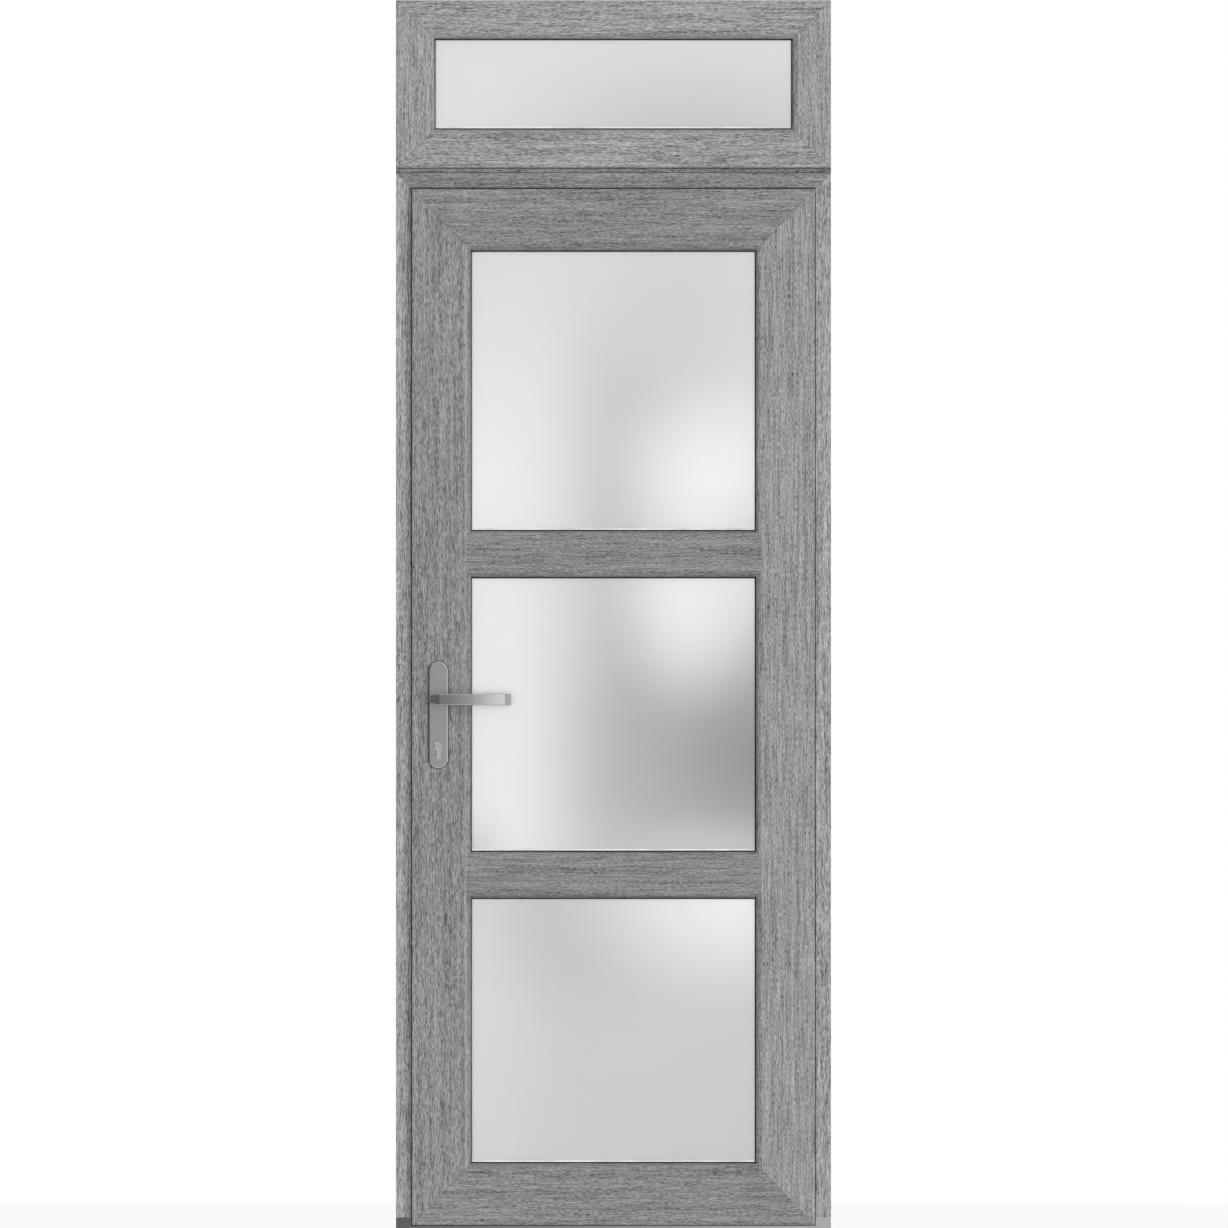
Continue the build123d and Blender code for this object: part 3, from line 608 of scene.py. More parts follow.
class DoorSizes(bpy.types.PropertyGroup):
    """Sizes of the small pieces that dress the door."""

    pane_cover: bpy.props.FloatProperty(
        name="Pane cover", description="How far a pane runs behind the lips", default=15 * MM, unit="LENGTH"
    )
    gasket: bpy.props.FloatProperty(
        name="Gasket", description="Gasket that shows round each pane", default=1.5 * MM, unit="LENGTH"
    )
    # The gasket's lip is partly real rubber and partly painted shade beside the glass
    gasket_and_shade_lip: bpy.props.FloatProperty(
        name="Gasket lip",
        description="Width of the gasket's soft lip on a pane",
        default=2.4 * MM,
        unit="LENGTH",
    )
    rear_seal: bpy.props.FloatProperty(
        name="Rear seal", description="Rubber showing beside each bead", default=2.2 * MM, unit="LENGTH"
    )
    # A pale strip put in as a painted highlight along each pane's foot
    tape: bpy.props.FloatProperty(
        name="Glazing strip",
        description="Height of the pale strip along the foot of each pane",
        default=3 * MM,
        unit="LENGTH",
    )
    seam: bpy.props.FloatProperty(
        name="Seam", description="Width of a mitre's weld seam", default=0.8 * MM, unit="LENGTH"
    )
    lip_width: bpy.props.FloatProperty(
        name="Lip width", description="Width of the bars' soft lip", default=11 * MM, unit="LENGTH"
    )
    lip_drop: bpy.props.FloatProperty(
        name="Lip drop", description="Depth of the bars' soft lip", default=10 * MM, unit="LENGTH"
    )
    # A black rubber fin put in as a painted shadow line round the leaf
    fin: bpy.props.FloatProperty(
        name="Edge fin", description="Rubber fin that shows round the leaf", default=1.7 * MM, unit="LENGTH"
    )
    # Black tape put in as a painted shadow line beside the coupling strip
    coupler_shade_tape: bpy.props.FloatProperty(
        name="Coupler tape",
        description="Tape that shows beside the coupling strip",
        default=1.1 * MM,
        unit="LENGTH",
    )
    seal_width: bpy.props.FloatProperty(
        name="Seal width", description="Width of the weather seals", default=4 * MM, unit="LENGTH"
    )
    hinge_length: bpy.props.FloatProperty(
        name="Hinge length", description="Length of a hinge", default=100 * MM, unit="LENGTH"
    )
    bristle_pitch: bpy.props.FloatProperty(
        name="Bristle pitch", description="Space between the brush's tufts", default=1.6 * MM, unit="LENGTH"
    )
    # Black rubber put in as a painted shadow line round each handle plate
    plate_shade_gasket: bpy.props.FloatProperty(
        name="Plate gasket",
        description="Rubber that shows round a handle plate",
        default=0.9 * MM,
        unit="LENGTH",
    )
    screw_radius: bpy.props.FloatProperty(
        name="Screw head radius",
        description="Screws of plates, hinges, keepers and lock",
        default=3.6 * MM,
        unit="LENGTH",
    )
    screw_stands: bpy.props.FloatProperty(
        name="Screw head height", description="How far a head stands out", default=1 * MM, unit="LENGTH"
    )
    cap_radius: bpy.props.FloatProperty(
        name="Fixing cap radius", description="Caps over the frame screws", default=7.5 * MM, unit="LENGTH"
    )


class DOOR_OT_profiles(bpy.types.Operator):
    """Foil on the frame, the leaf, the toplight and the beads"""

    bl_idname = "door.profiles"
    bl_label = "Foiled profiles"

    def execute(self, context):
        looks = context.scene.door_looks
        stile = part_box("lock_stile")
        # The painted highlight, a pale line up the lock stile and over the middle rails' ends: place, half
        # width and end in depth
        highlight_line = (stile[1][0] - 10.5 * MM, 3 * MM, stile[0][1] + 20 * MM)
        # Each foil's number shifts its grain, so that no two kinds of bar repeat it
        dress(ash_foil("ash_foil_jambs", looks.jamb_foil, "Z", 0.0), JAMBS)
        dress(ash_foil("ash_foil_toplight_uprights", looks.toplight_foil, "Z", 5.3), TOPLIGHT_UPRIGHTS)
        dress(ash_foil("ash_foil_toplight_levels", looks.toplight_foil, "X", 3.1), TOPLIGHT_LEVELS)
        # Shaded and lit copies of one foil: painted shade on the lock stile, painted light on the hinge
        # stile
        dress(ash_foil("ash_foil_lock_stile_shaded", looks.lock_foil_shaded, "Z", 11.3, highlight_line), ("lock_stile",))
        dress(ash_foil("ash_foil_hinge_stile_lit", looks.hinge_foil_lit, "Z", 17.9), ("hinge_stile",))
        dress(ash_foil("ash_foil_rails", looks.rail_foil, "X", 23.7), RAILS)
        dress(ash_foil("ash_foil_mid_rails", looks.rail_foil, "X", 31.9, highlight_line), MID_RAILS)
        # Painted shade: the coupling strip sits in a groove and takes a darker copy of the foil
        dress(ash_foil("ash_foil_coupler_shaded", looks.coupler_foil_shaded, "X", 29.3), ("coupling_strip",))
        for name in OPENINGS:
            beads = name + "_beads"
            dress(ash_foil("ash_foil_" + beads, looks.rail_foil, "X", 37.1, ring=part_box(beads)), (beads,))
        return {"FINISHED"}


class DOOR_OT_seams(bpy.types.Operator):
    """Touched-up weld seams along the mitres of the frame, the leaf and the toplight"""

    bl_idname = "door.seams"
    bl_label = "Mitre seams"

    def execute(self, context):
        sizes = context.scene.door_sizes
        # Touch-up lacquer: a satin line, darker than the foil beside it
        lacquer = moulded("touch_up_lacquer", linear("#68686A"), 0.5, 0.6)
        leaf = (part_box("lock_stile")[0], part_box("hinge_stile")[1])
        toplight = (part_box("toplight_left_jamb")[0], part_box("toplight_right_jamb")[1])
        rings = {
            "toplight_seams": ("frame", toplight, self.lips("toplight", "toplight", sizes)),
            "leaf_seams": ("leaf", leaf, self.lips("lower", "upper", sizes)),
        }
        for name, (body, outer, inner) in rings.items():
            shape = bmesh.new()
            for x in (0, 1):
                for z in (0, 1):
                    start = (outer[x][0], outer[z][2])
                    end = (inner[x][0], inner[z][1])
                    self.seam(shape, start, end, outer[0][1], sizes.lip_drop, sizes)
            make_object(name, shape, lacquer, body)
        shape = bmesh.new()
        left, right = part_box("lock_jamb"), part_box("hinge_jamb")
        face = left[1][2] - leaf[1][2]
        for start, way in (((left[0][0], left[1][2]), 1), ((right[1][0], right[1][2]), -1)):
            end = (start[0] + way * face, start[1] - face)
            self.seam(shape, start, end, left[0][1], 0.0, sizes)
        make_object("frame_seams", shape, lacquer, "frame")
        return {"FINISHED"}

    def lips(self, first, last, sizes):
        """The lower left corner inside the first opening's lips and the upper right inside the last's."""
        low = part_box(first + "_outer_pane")[0]
        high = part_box(last + "_outer_pane")[1]
        cover = sizes.pane_cover
        return (low[0] + cover, low[2] + cover), (high[0] - cover, high[2] - cover)

    def seam(self, shape, start, end, front, drop, sizes):
        """A thin line from an outer corner to an inner one, over the flat face and down the soft lip."""
        outer = Vector((start[0], 0, start[1]))
        inner = Vector((end[0], 0, end[1]))
        across = abs(end[0] - start[0])
        side = (inner - outer).cross(Vector((0, 1, 0))).normalized() * (sizes.seam / 2)
        proud = 0.12 * MM
        clear_of_edge = 2 * MM
        edge = clear_of_edge / across
        path = [(edge, 0.0), (1.0, 0.0)]
        if drop:
            bend = 1 - sizes.lip_width / across
            # The soft lip's curve, as shares of its width and of its drop
            curve = ((0.0, 0.0), (0.35, 0.13), (0.63, 0.34), (0.85, 0.63), (1.0, 1.0))
            path = [(edge, 0.0)] + [(bend + (1 - bend) * wide, drop * deep) for wide, deep in curve]
        loops = []
        for share, depth in path:
            place = outer.lerp(inner, share)
            place.y = front + depth - proud
            back = Vector((0, 3 * proud, 0))
            spots = (place + side, place - side, place - side + back, place + side + back)
            loops.append([shape.verts.new(spot) for spot in spots])
        for here, there in zip(loops, loops[1:]):
            bridge(shape, here, there)
        shape.faces.new(loops[0])
        shape.faces.new(loops[-1])


class DOOR_OT_glazing(bpy.types.Operator):
    """Satin panes with painted light and shade, clear panes, spacers, gaskets and their lips that are partly
    painted shade, seals beside the beads, and pale foot strips as painted highlights
    """

    bl_idname = "door.glazing"
    bl_label = "Glazing"

    def execute(self, context):
        looks = context.scene.door_looks
        sizes = context.scene.door_sizes
        # Extruded rubber: near black and matt
        rubber = moulded("epdm_rubber", looks.rubber, 0.62, 0.6)
        # Extruded PVC: pale, with a soft sheen, for the painted highlight along each pane's foot
        pale = moulded("glazing_strip_pvc", linear("#F0F0F0"), 0.35, 0.8)
        room_side = float_glass("float_glass")
        dress(rubber, GASKETS)
        # Rolled aluminium: grey and dull between the panes
        dress(brushed_metal("spacer_aluminium", linear("#8E8F91"), 0.45, "X"), SPACERS)
        for name in OPENINGS:
            dress(satin_glass("satin_glass_" + name, *PANES[name]), (name + "_outer_pane",))
            dress(room_side, (name + "_inner_pane",))
            body = "frame" if name == "toplight" else "leaf"
            self.gasket_and_shade_lip(name, body, sizes, rubber)
            self.rear_seal(name, body, sizes, rubber)
            self.foot_highlight_strip(name, body, sizes, pale)
        return {"FINISHED"}

    def gasket_and_shade_lip(self, name, body, sizes, rubber):
        """The gasket's soft lip on the outer pane: partly the real gasket, and partly painted shade that
        widens its dark line at the top, the foot and the hinge side.
        """
        low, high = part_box(name + "_outer_pane")
        glass = low[1]
        cover = sizes.pane_cover
        wide = sizes.gasket_and_shade_lip
        root = 0.5 * MM
        tall = 2.4 * MM
        shoulder = 1 * MM
        tip = 0.4 * MM
        outline = [(root, glass), (root, glass - tall), (0.8 * wide, glass - shoulder)]
        outline += [(wide, glass - tip), (wide, glass)]
        # On the lock side the lip stays within the gasket, so the painted shade widens the dark line only on
        # the other three sides
        hidden = wide - sizes.gasket
        opening = corners(low[0] + cover - hidden, high[0] - cover, low[2] + cover, high[2] - cover)
        strip_piece(name + "_gasket_and_shade_lip", opening, outline, True, rubber, body)

    def rear_seal(self, name, body, sizes, rubber):
        """The rubber line between the inner pane and its beads."""
        low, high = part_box(name + "_inner_pane")
        glass = high[1]
        cover = sizes.pane_cover
        wide = sizes.rear_seal
        outline = [(0, glass), (wide, glass), (wide, glass + 0.36 * wide)]
        outline += [(0.6 * wide, glass + 0.8 * wide), (0, glass + wide)]
        opening = corners(low[0] + cover, high[0] - cover, low[2] + cover, high[2] - cover)
        strip_piece(name + "_rear_seal", opening, outline, True, rubber, body)

    def foot_highlight_strip(self, name, body, sizes, pale):
        """A pale strip along the foot of the outer pane, put in as a painted highlight."""
        low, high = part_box(name + "_outer_pane")
        glass = low[1]
        inset = sizes.pane_cover + sizes.gasket_and_shade_lip
        tall = sizes.tape
        thick = 1.4 * MM
        thinner = 1.2 * MM
        outline = [(0, glass), (0, glass - thick), (0.6 * tall, glass - thinner), (tall, glass)]
        foot = low[2] + inset
        ends = [((low[0] + inset, foot), (0, 1)), ((high[0] - inset, foot), (0, 1))]
        strip_piece(name + "_glazing_highlight_strip", ends, outline, False, pale, body)


class DOOR_OT_seals(bpy.types.Operator):
    """Bulb seals of the leaf and the frame, the leaf's fin and the coupler's tapes as painted shadow lines,
    and the brush
    """

    bl_idname = "door.seals"
    bl_label = "Seals and brush"

    def execute(self, context):
        looks = context.scene.door_looks
        sizes = context.scene.door_sizes
        # Extruded rubber, a little smoother than the gaskets: near black with a faint sheen
        rubber = moulded("weather_seal_epdm", looks.rubber, 0.55, 0.6)
        self.leaf_seal(sizes, rubber)
        self.shadow_fin(sizes, rubber)
        self.frame_seal(sizes, rubber)
        self.coupler_shadow_tapes(sizes, rubber)
        self.brush(sizes)
        return {"FINISHED"}

    def leaf_seal(self, sizes, rubber):
        """A bulb seal behind the leaf's overlap, broken at the hinges."""
        low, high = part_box("leaf_seal")
        room = sizes.hinge_length / 2 + (high[1] - low[1])
        breaks = [(z - room, z + room) for z in hinge_heights(sizes)]
        side = (-1, 0)
        around = corners(low[0], high[0], low[2], high[2])
        around = [around[2], around[3], around[0], around[1]]
        runs = [[((high[0], breaks[-1][1]), side), *around, ((high[0], breaks[0][0]), side)]]
        for below, above in zip(breaks, breaks[1:]):
            runs.append([((high[0], below[1]), side), ((high[0], above[0]), side)])
        shape = bmesh.new()
        for stations in runs:
            strip(shape, stations, bulb(sizes.seal_width, low[1], high[1]), closed=False)
        make_object("leaf_bulb_seal", shape, rubber, "leaf", "leaf_seal")

    def shadow_fin(self, sizes, rubber):
        """A thin black rubber fin behind the overlap, put in as a painted shadow line round the leaf, wider
        at its top.
        """
        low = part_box("lock_stile")[0]
        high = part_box("hinge_stile")[1]
        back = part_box("leaf_seal")[0][1]
        out = sizes.fin
        # The painted shadow line is half as wide again at the leaf's top
        wider = 0.5 * out
        root = 1.2 * MM
        # The fin thins from 0.9 mm at its root to a blunt tip
        outline = [(root, back), (-0.6 * out, back), (-out, back + 0.3 * MM)]
        outline += [(-out, back + 0.5 * MM), (-0.6 * out, back + 0.7 * MM), (root, back + 0.9 * MM)]
        around = corners(low[0], high[0], low[2], high[2] + wider)
        strip_piece("leaf_edge_fin", around, outline, True, rubber, "leaf")

    def frame_seal(self, sizes, rubber):
        """A bulb seal on the upstand of both jambs and the head."""
        low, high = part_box("frame_seal")
        stations = [
            ((low[0], low[2]), (1, 0)),
            ((low[0], high[2]), (1, -1)),
            ((high[0], high[2]), (-1, -1)),
            ((high[0], low[2]), (-1, 0)),
        ]
        outline = bulb(sizes.seal_width, high[1], low[1])
        strip_piece(
            "frame_bulb_seal", stations, outline, False, rubber, "frame", "frame_seal"
        )

    def coupler_shadow_tapes(self, sizes, rubber):
        """Black rubber tapes put in as painted shadow lines below and above the coupling strip."""
        low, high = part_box("coupling_strip")
        face = low[1]
        wide = sizes.coupler_shade_tape
        proud = 0.5 * MM
        outline = [(0, face + proud), (0, face - proud), (wide, face - proud), (wide, face + proud)]
        shape = bmesh.new()
        for z, way in ((low[2], (0, 1)), (high[2], (0, -1))):
            strip(shape, [((low[0], z), way), ((high[0], z), way)], outline, closed=False)
        make_object("coupler_shadow_tapes", shape, rubber, "frame")

    def brush(self, sizes):
        """A carrier with three rows of bristle tufts, each leaning a little."""
        low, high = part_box("bottom_brush")
        carrier = 1.6 * MM
        chamfer = 1 * MM
        margin = 2 * MM
        lean = 0.8 * MM
        uneven = 0.4 * MM
        half = 0.55 * MM
        thin = 0.4 * half
        draw = random.Random(7)
        shape = bmesh.new()
        root = high[2] - carrier
        outline = [(0, low[1]), (0, high[1]), (carrier, high[1] - chamfer), (carrier, low[1] + chamfer)]
        strip(shape, [((low[0], high[2]), (0, -1)), ((high[0], high[2]), (0, -1))], outline, closed=False)
        count = int((high[0] - low[0] - 2 * margin) / sizes.bristle_pitch)
        ways = ((-1, -1), (1, -1), (1, 1), (-1, 1))
        for row in (0.25, 0.5, 0.75):
            y = low[1] + row * (high[1] - low[1])
            for i in range(count):
                # The middle row's tufts stand between those of the outer rows
                x = low[0] + margin + (i + 0.5 * (row == 0.5)) * sizes.bristle_pitch
                foot = (x + draw.uniform(-lean, lean), y + draw.uniform(-lean, lean))
                tip = low[2] + draw.uniform(0, uneven)
                top = [shape.verts.new((x + half * a, y + half * b, root)) for a, b in ways]
                end = [shape.verts.new((foot[0] + thin * a, foot[1] + thin * b, tip)) for a, b in ways]
                bridge(shape, top, end)
                shape.faces.new(top)
                shape.faces.new(end)
        # Polypropylene bristles: near black, with no shine
        pile = moulded("polypropylene_pile", linear("#1E1E1F"), 0.85, 0.5)
        make_object("brush_bristles", shape, pile, "leaf", "bottom_brush")


class DOOR_OT_metalwork(bpy.types.Operator):
    """Finishes of the handles, the key cylinder, the threshold, the hinges and the lock"""

    bl_idname = "door.metalwork"
    bl_label = "Metalwork"

    def execute(self, context):
        looks = context.scene.door_looks
        # Satin nickel: a soft mirror on the cast levers, a shade darker and duller on the pressed plates
        dress(brushed_metal("satin_nickel", looks.metal, 0.2, "Z", 0.4, 0.03), LEVERS)
        dress(brushed_metal("satin_nickel_plate", shaded(looks.metal, 0.9), 0.28, "Z"), BACKPLATES)
        # Nickel-plated brass: smoother and brighter than the plate round it
        dress(brushed_metal("nickel_brass", linear("#D8D7D4"), 0.16, "Z"), ("lock_cylinder",))
        # Mill-finish aluminium: drawn lines along the bar, and a painted reflection that makes it darker
        # towards the lock side
        low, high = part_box("threshold")
        fade = (low[0], high[0], looks.threshold_reflection_fade)
        mill = brushed_metal("mill_aluminium", looks.threshold_metal, 0.12, "X", 0.8, 0.02, fade)
        dress(mill, ("threshold",))
        # Zinc plate: cool and dull
        dress(brushed_metal("zinc_plate", looks.zinc, 0.36, "Z"), ZINC_PLATED)
        # Moulded nylon: near black and matt
        dress(moulded("glass_filled_nylon", linear("#1C1C1D"), 0.6, 0.8), ("threshold_core",))
        return {"FINISHED"}


class DOOR_OT_screws(bpy.types.Operator):
    """Screws of the inside plate, the hinges, the keepers, the lock strip and the levers"""

    bl_idname = "door.screws"
    bl_label = "Screws"

    def execute(self, context):
        sizes = context.scene.door_sizes
        # Bright steel, a little dulled
        steel = brushed_metal("screw_steel", linear("#A9AAAC"), 0.32, "Y")
        rows = {
            "inside_plate_screws": ("leaf", self.plate_points()),
            "hinge_frame_screws": ("frame", self.hinge_points("hinge_frame_halves", -1, sizes)),
            "hinge_leaf_screws": ("leaf", self.hinge_points("hinge_leaf_halves", 1, sizes)),
            "keeper_screws": ("frame", self.keeper_points()),
            "lock_strip_screws": ("leaf", self.strip_points()),
        }
        for name, (body, points) in rows.items():
            shape = bmesh.new()
            for place, way in points:
                screw_head(shape, Vector(place), Vector(way), sizes.screw_radius, sizes.screw_stands)
            make_object(name, shape, steel, body)
        self.grub_screws(steel)
        return {"FINISHED"}

    def plate_points(self):
        """A screw near each end of the inside plate."""
        low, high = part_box("inside_backplate")
        inset = (high[0] - low[0]) / 2
        return [((PIVOT[0], high[1], z), (0, 1, 0)) for z in (low[2] + inset, high[2] - inset)]

    def hinge_points(self, node, way, sizes):
        """Four screws on each hinge plate, on the side that faces the other plate."""
        plate = 3 * MM
        low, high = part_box(node)
        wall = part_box("keepers")[1][0]
        x = -wall - plate if way < 0 else low[0] + plate
        columns = (27 * MM, 11 * MM)
        depths = [high[1] - column for column in columns]
        third = 0.34 * sizes.hinge_length
        places = []
        for z in hinge_heights(sizes):
            places += [((x, y, z + dz), (way, 0, 0)) for y in depths for dz in (-third, third)]
        return places

    def keeper_points(self):
        """Two screws on each keeper plate, above and below its pocket."""
        low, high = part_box("keepers")
        middle = (low[2] + high[2]) / 2
        half = 50 * MM
        reach = 36 * MM
        y = (low[1] + high[1]) / 2
        heights = (low[2] + half, middle, high[2] - half)
        return [((high[0], y, z + dz), (1, 0, 0)) for z in heights for dz in (-reach, reach)]

    def strip_points(self):
        """Screws down the lock's edge strip."""
        low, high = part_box("lock_edge_strip")
        strip_thick = 3 * MM
        y = (low[1] + high[1]) / 2
        x = high[0] - strip_thick
        inset = 20 * MM
        count = 8
        step = (high[2] - low[2] - 2 * inset) / (count - 1)
        return [((x, y, low[2] + inset + i * step), (-1, 0, 0)) for i in range(count)]

    def grub_screws(self, steel):
        """A small hexagon-socket screw under each lever's neck."""
        neck = 10 * MM
        out = 9 * MM
        radius = 2.4 * MM
        shape = bmesh.new()

        def socket(angle):
            return 0.5 * radius / math.cos((angle + math.pi / 6) % (math.pi / 3) - math.pi / 6)

        # Height above the neck and radius: just proud of it, with a sunk socket
        rings = [(-0.6 * MM, radius), (0.1 * MM, radius), (0.2 * MM, 0.8 * radius), (0.2 * MM, socket)]
        rings.append((-0.4 * MM, socket))
        for node, way in (("outside_backplate", -1), ("inside_backplate", 1)):
            low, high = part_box(node)
            face = high[1] if way > 0 else low[1]
            turned(shape, Vector((PIVOT[0], face + way * out, PIVOT[2] - neck)), -UP, rings, 24)
        make_object("lever_grub_screws", shape, steel, "levers")


class DOOR_OT_trim(bpy.types.Operator):
    """Bearing collars round the lever necks, black gaskets behind the plates as painted shadow lines, and
    caps over the frame screws
    """

    bl_idname = "door.trim"
    bl_label = "Collars, plate gaskets and caps"

    def execute(self, context):
        sizes = context.scene.door_sizes
        looks = context.scene.door_looks
        # Satin nickel, turned: a soft ring of light round the neck
        metal = brushed_metal("collar_nickel", looks.metal, 0.30, "Y")
        faces = {
            "outside_collar": (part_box("outside_backplate")[0][1], -1),
            "inside_collar": (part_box("inside_backplate")[1][1], 1),
        }
        # Height above the plate and radius, in millimetres, clear of the turning neck
        profile = [(0, 10.9), (1.4, 10.9), (1.8, 10.8), (2.0, 10.6), (2.0, 10.3), (0, 10.3)]
        rings = [(height * MM, radius * MM) for height, radius in profile]
        for name, (y, way) in faces.items():
            shape = bmesh.new()
            turned(shape, Vector((PIVOT[0], y, PIVOT[2])), Vector((0, way, 0)), rings, 48, ring_shaped=True)
            make_object(name, shape, metal, "leaf")
        self.plate_shadow_gaskets(sizes, looks)
        self.caps(sizes)
        return {"FINISHED"}

    def plate_shadow_gaskets(self, sizes, looks):
        """A thin black rubber gasket put in as a painted shadow line round each handle plate."""
        # Die-cut rubber: near black and matt
        rubber = moulded("plate_shadow_gasket_epdm", looks.rubber, 0.6, 0.6)
        out = sizes.plate_shade_gasket
        root = 1 * MM
        thick = 0.7 * MM
        for node, face in (("outside_backplate", 1), ("inside_backplate", 0)):
            low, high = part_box(node)
            leaf = (low, high)[face][1]
            rise = thick * (1 - 2 * face)
            outline = [(root, leaf), (-out, leaf), (-out, leaf + 0.6 * rise)]
            outline += [(-0.6 * out, leaf + rise), (root, leaf + rise)]
            around = round_ended(low, high)
            strip_piece(node + "_gasket", around, outline, True, rubber, "leaf")

    def caps(self, sizes):
        """A low domed cap over each frame screw, on the inner wall of the jambs."""
        # Moulded polyethylene: a waxy grey near the foil's
        cap = moulded("cap_polyethylene", linear("#8A8A8C"), 0.5, 0.6)
        wall = -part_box("keepers")[1][0]
        radius = sizes.cap_radius
        # Height above the wall and radius of the low dome
        rings = [(0, radius), (0.5 * MM, radius), (1.1 * MM, 0.92 * radius), (1.5 * MM, 0.6 * radius)]
        shape = bmesh.new()
        for side, way in (("lock", -1), ("hinge", 1)):
            for group in ("end", "mid"):
                mount = MOUNTS[f"{side}_jamb_{group}_fixings"]
                half = mount["dims"]["spacing_y_mm"] * MM / 2
                for dz in (-half, half):
                    centre = Vector((wall * way, mount["pos_m"][1], mount["pos_m"][2] + dz))
                    turned(shape, centre, Vector((-way, 0, 0)), rings)
        make_object("fixing_caps", shape, cap, "frame")


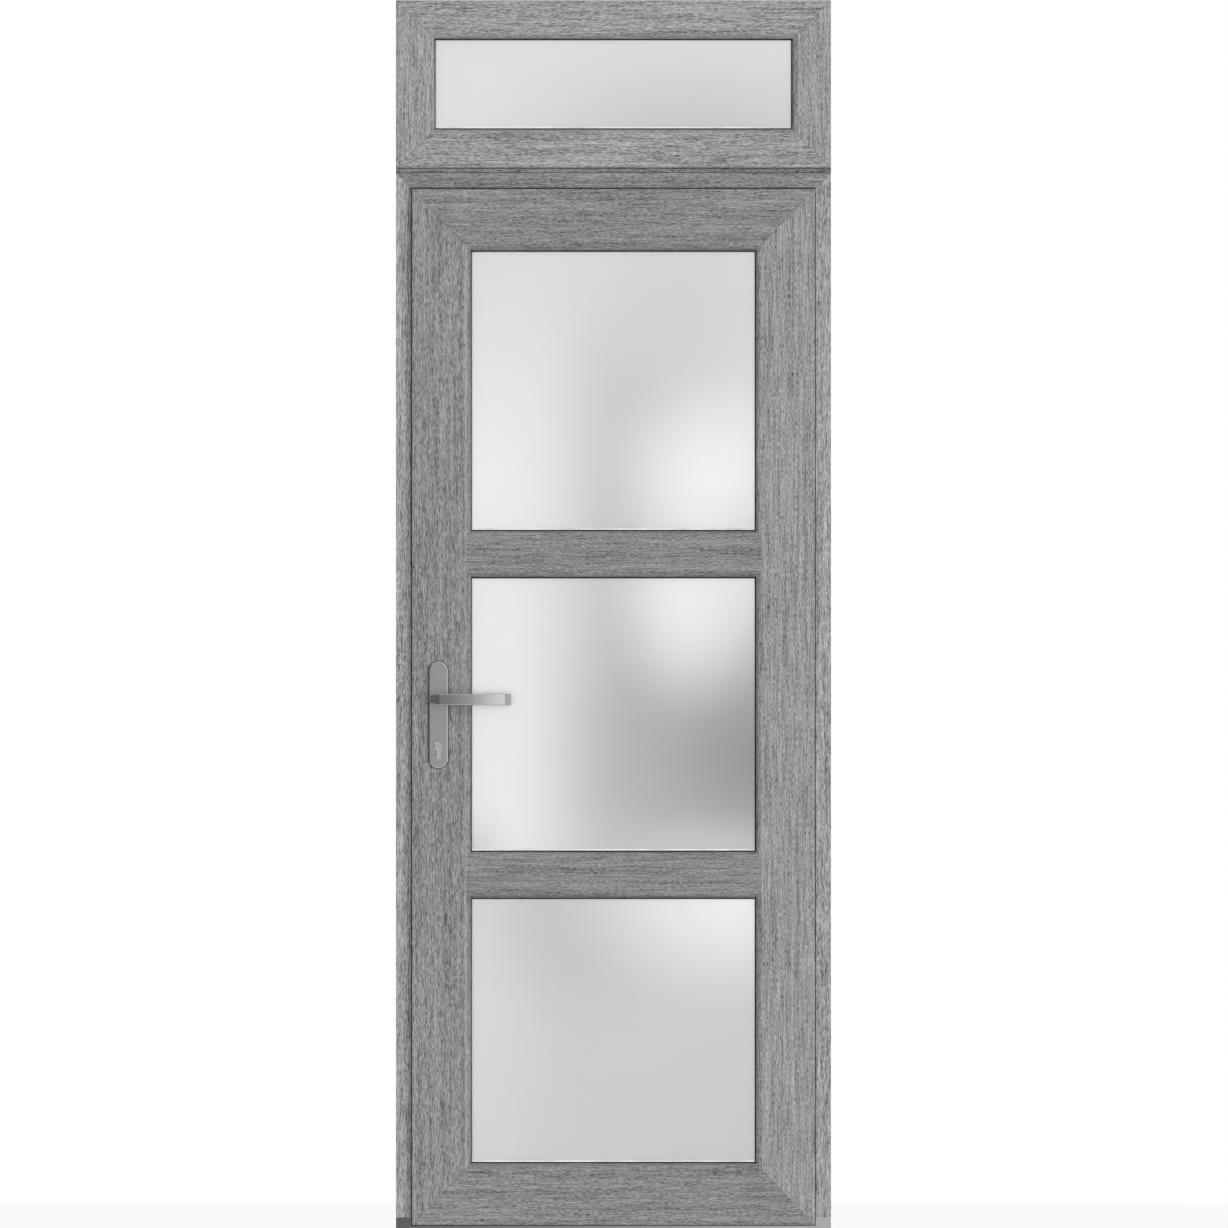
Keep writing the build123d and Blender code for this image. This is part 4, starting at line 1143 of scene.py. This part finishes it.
class DOOR_OT_stage(bpy.types.Operator):
    """Camera, lamps, pale floor, white surroundings and a graded card that the metal reflects"""

    bl_idname = "door.stage"
    bl_label = "Stage"

    def execute(self, context):
        scene = context.scene
        scene.view_settings.view_transform = "Standard"
        self.camera(scene)
        self.surroundings(scene)
        for name, (strength, tilt, turn) in LAMPS.items():
            self.lamp(scene, name, strength, tilt, turn)
        self.floor()
        self.card()
        return {"FINISHED"}

    def camera(self, scene):
        """A long lens straight in front that fits the door's height, a hair tighter and off centre."""
        tighter = 0.9995
        aside = 1.0 * MM
        above = 0.5 * MM
        low, high = CAD_BOX
        lens = bpy.data.cameras.new("camera")
        lens.lens = 1000
        lens.sensor_width = 36
        lens.clip_end = 500
        distance = tighter * (high[2] - low[2]) * lens.lens / lens.sensor_width
        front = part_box("lock_stile")[0][1]
        eye = bpy.data.objects.new("camera", lens)
        eye.location = (aside, front - distance, (low[2] + high[2]) / 2 + above)
        eye.rotation_euler = (math.pi / 2, 0, 0)
        scene.collection.objects.link(eye)
        scene.camera = eye

    def surroundings(self, scene):
        """White where the camera, metal or glass looks, and a plain even light elsewhere."""
        even = 0.33
        world = bpy.data.worlds.new("studio")
        world.use_nodes = True
        tree = world.node_tree
        tree.nodes.clear()
        light = add(tree, "Background", None, {"Color": linear("#FFFFFF"), "Strength": even}).outputs[0]
        white = add(tree, "Background", None, {"Color": linear("#FFFFFF"), "Strength": 1.0}).outputs[0]
        both = add(tree, "MixShader", None, {0: looked_at(tree), 1: light, 2: white}).outputs[0]
        add(tree, "OutputWorld", None, {"Surface": both})
        scene.world = world

    def lamp(self, scene, name, strength, tilt, turn):
        """A broad soft lamp that metal and glass don't mirror."""
        softness = 50
        light = bpy.data.lights.new(name, "SUN")
        light.energy = strength
        light.angle = math.radians(softness)
        lamp = bpy.data.objects.new(name, light)
        lamp.rotation_euler = (math.radians(tilt), 0, math.radians(turn))
        lamp.visible_glossy = False
        lamp.visible_transmission = False
        scene.collection.objects.link(lamp)

    def floor(self):
        """A pale floor that looks white, keeps the door's shadow and takes no light from the door's foot."""
        whiteness = 0.88
        radius = 3.0
        below = 0.5 * MM
        material, tree = blank("studio_floor_paint")
        paint = add(tree, "BsdfDiffuse", None, {"Color": linear("#F2F2F2")}).outputs[0]
        glow = add(tree, "Emission", None, {"Color": linear("#FFFFFF"), "Strength": 1.0}).outputs[0]
        share = {0: looked_at(tree), 1: whiteness}
        share = add(tree, "Math", {"operation": "MULTIPLY"}, share).outputs[0]
        both = add(tree, "MixShader", None, {0: share, 1: paint, 2: glow}).outputs[0]
        add(tree, "OutputMaterial", None, {"Surface": both})
        shape = bmesh.new()
        bmesh.ops.create_circle(shape, cap_ends=True, segments=64, radius=radius)
        floor = put("floor", shape, material)
        floor.location = (0, 0, -below)
        floor.visible_diffuse = False
        floor.visible_shadow = False

    def card(self):
        """A bowed card round the front, dark at the left and bright ahead, that only reflections see."""
        sweep = 120
        radius = 4.0
        heights = (-0.5, 4.0)
        steps = 60
        strength = 1.4
        material, tree = blank("graded_card")
        coords = add(tree, "TexCoord").outputs["Object"]
        place = add(tree, "SeparateXYZ", None, {"Vector": coords}).outputs
        ahead = add(tree, "Math", {"operation": "MULTIPLY"}, {0: place["Y"], 1: -1.0}).outputs[0]
        angle = add(tree, "Math", {"operation": "ARCTAN2"}, {0: place["X"], 1: ahead}).outputs[0]
        around = {"Value": angle, "From Min": math.radians(-sweep), "From Max": math.radians(sweep)}
        turn = add(tree, "MapRange", None, around).outputs["Result"]
        # Degrees from straight ahead, and the light given off there
        grades = (
            (-110, (0.165, 0.146, 0.144)),
            (-50, (0.14, 0.126, 0.126)),
            (-18, (0.18, 0.18, 0.18)),
            (-6, (0.33, 0.33, 0.33)),
            (0, (0.62, 0.62, 0.62)),
            (5, (1.0, 1.0, 1.0)),
            (24, (1.0, 1.0, 1.0)),
            (50, (0.60, 0.60, 0.64)),
            (110, (0.60, 0.60, 0.64)),
        )
        stops = [((degrees + sweep) / (2 * sweep), (*light, 1)) for degrees, light in grades]
        shade = add(tree, "ValToRGB", None, {"Fac": turn}, stops).outputs["Color"]
        glow = add(tree, "Emission", None, {"Color": shade, "Strength": strength}).outputs[0]
        add(tree, "OutputMaterial", None, {"Surface": glow})
        shape = bmesh.new()
        columns = []
        for i in range(steps + 1):
            way = math.radians(sweep * (2 * i / steps - 1))
            spot = (radius * math.sin(way), -radius * math.cos(way))
            columns.append([shape.verts.new((*spot, z)) for z in heights])
        for left, right in zip(columns, columns[1:]):
            shape.faces.new((left[0], right[0], right[1], left[1]))
        card = put("graded_card", shape, material)
        card.visible_camera = False
        card.visible_diffuse = False
        card.visible_transmission = False
        card.visible_shadow = False


OPERATORS = (
    DOOR_OT_profiles,
    DOOR_OT_seams,
    DOOR_OT_glazing,
    DOOR_OT_seals,
    DOOR_OT_metalwork,
    DOOR_OT_screws,
    DOOR_OT_trim,
    DOOR_OT_stage,
)


class DOOR_PT_dressing(bpy.types.Panel):
    """Lists the dressing steps and what can be changed in them"""

    bl_label = "Front door"
    bl_idname = "DOOR_PT_dressing"
    bl_space_type = "VIEW_3D"
    bl_region_type = "UI"
    bl_category = "Door"

    def draw(self, context):
        for group in (context.scene.door_looks, context.scene.door_sizes):
            for key in group.__annotations__:
                self.layout.prop(group, key)
        for operator in OPERATORS:
            self.layout.operator(operator.bl_idname)


CLASSES = (DoorLooks, DoorSizes, *OPERATORS, DOOR_PT_dressing)


def register():
    """Adds the classes and their settings."""
    for item in CLASSES:
        bpy.utils.register_class(item)
    bpy.types.Scene.door_looks = bpy.props.PointerProperty(type=DoorLooks)
    bpy.types.Scene.door_sizes = bpy.props.PointerProperty(type=DoorSizes)


def unregister():
    """Takes the settings and classes away again."""
    del bpy.types.Scene.door_sizes
    del bpy.types.Scene.door_looks
    for item in reversed(CLASSES):
        bpy.utils.unregister_class(item)


def main():
    """Registers the add-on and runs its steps."""
    register()
    bpy.ops.door.profiles()
    bpy.ops.door.seams()
    bpy.ops.door.glazing()
    bpy.ops.door.seals()
    bpy.ops.door.metalwork()
    bpy.ops.door.screws()
    bpy.ops.door.trim()
    bpy.ops.door.stage()


if __name__ == "__main__":
    main()
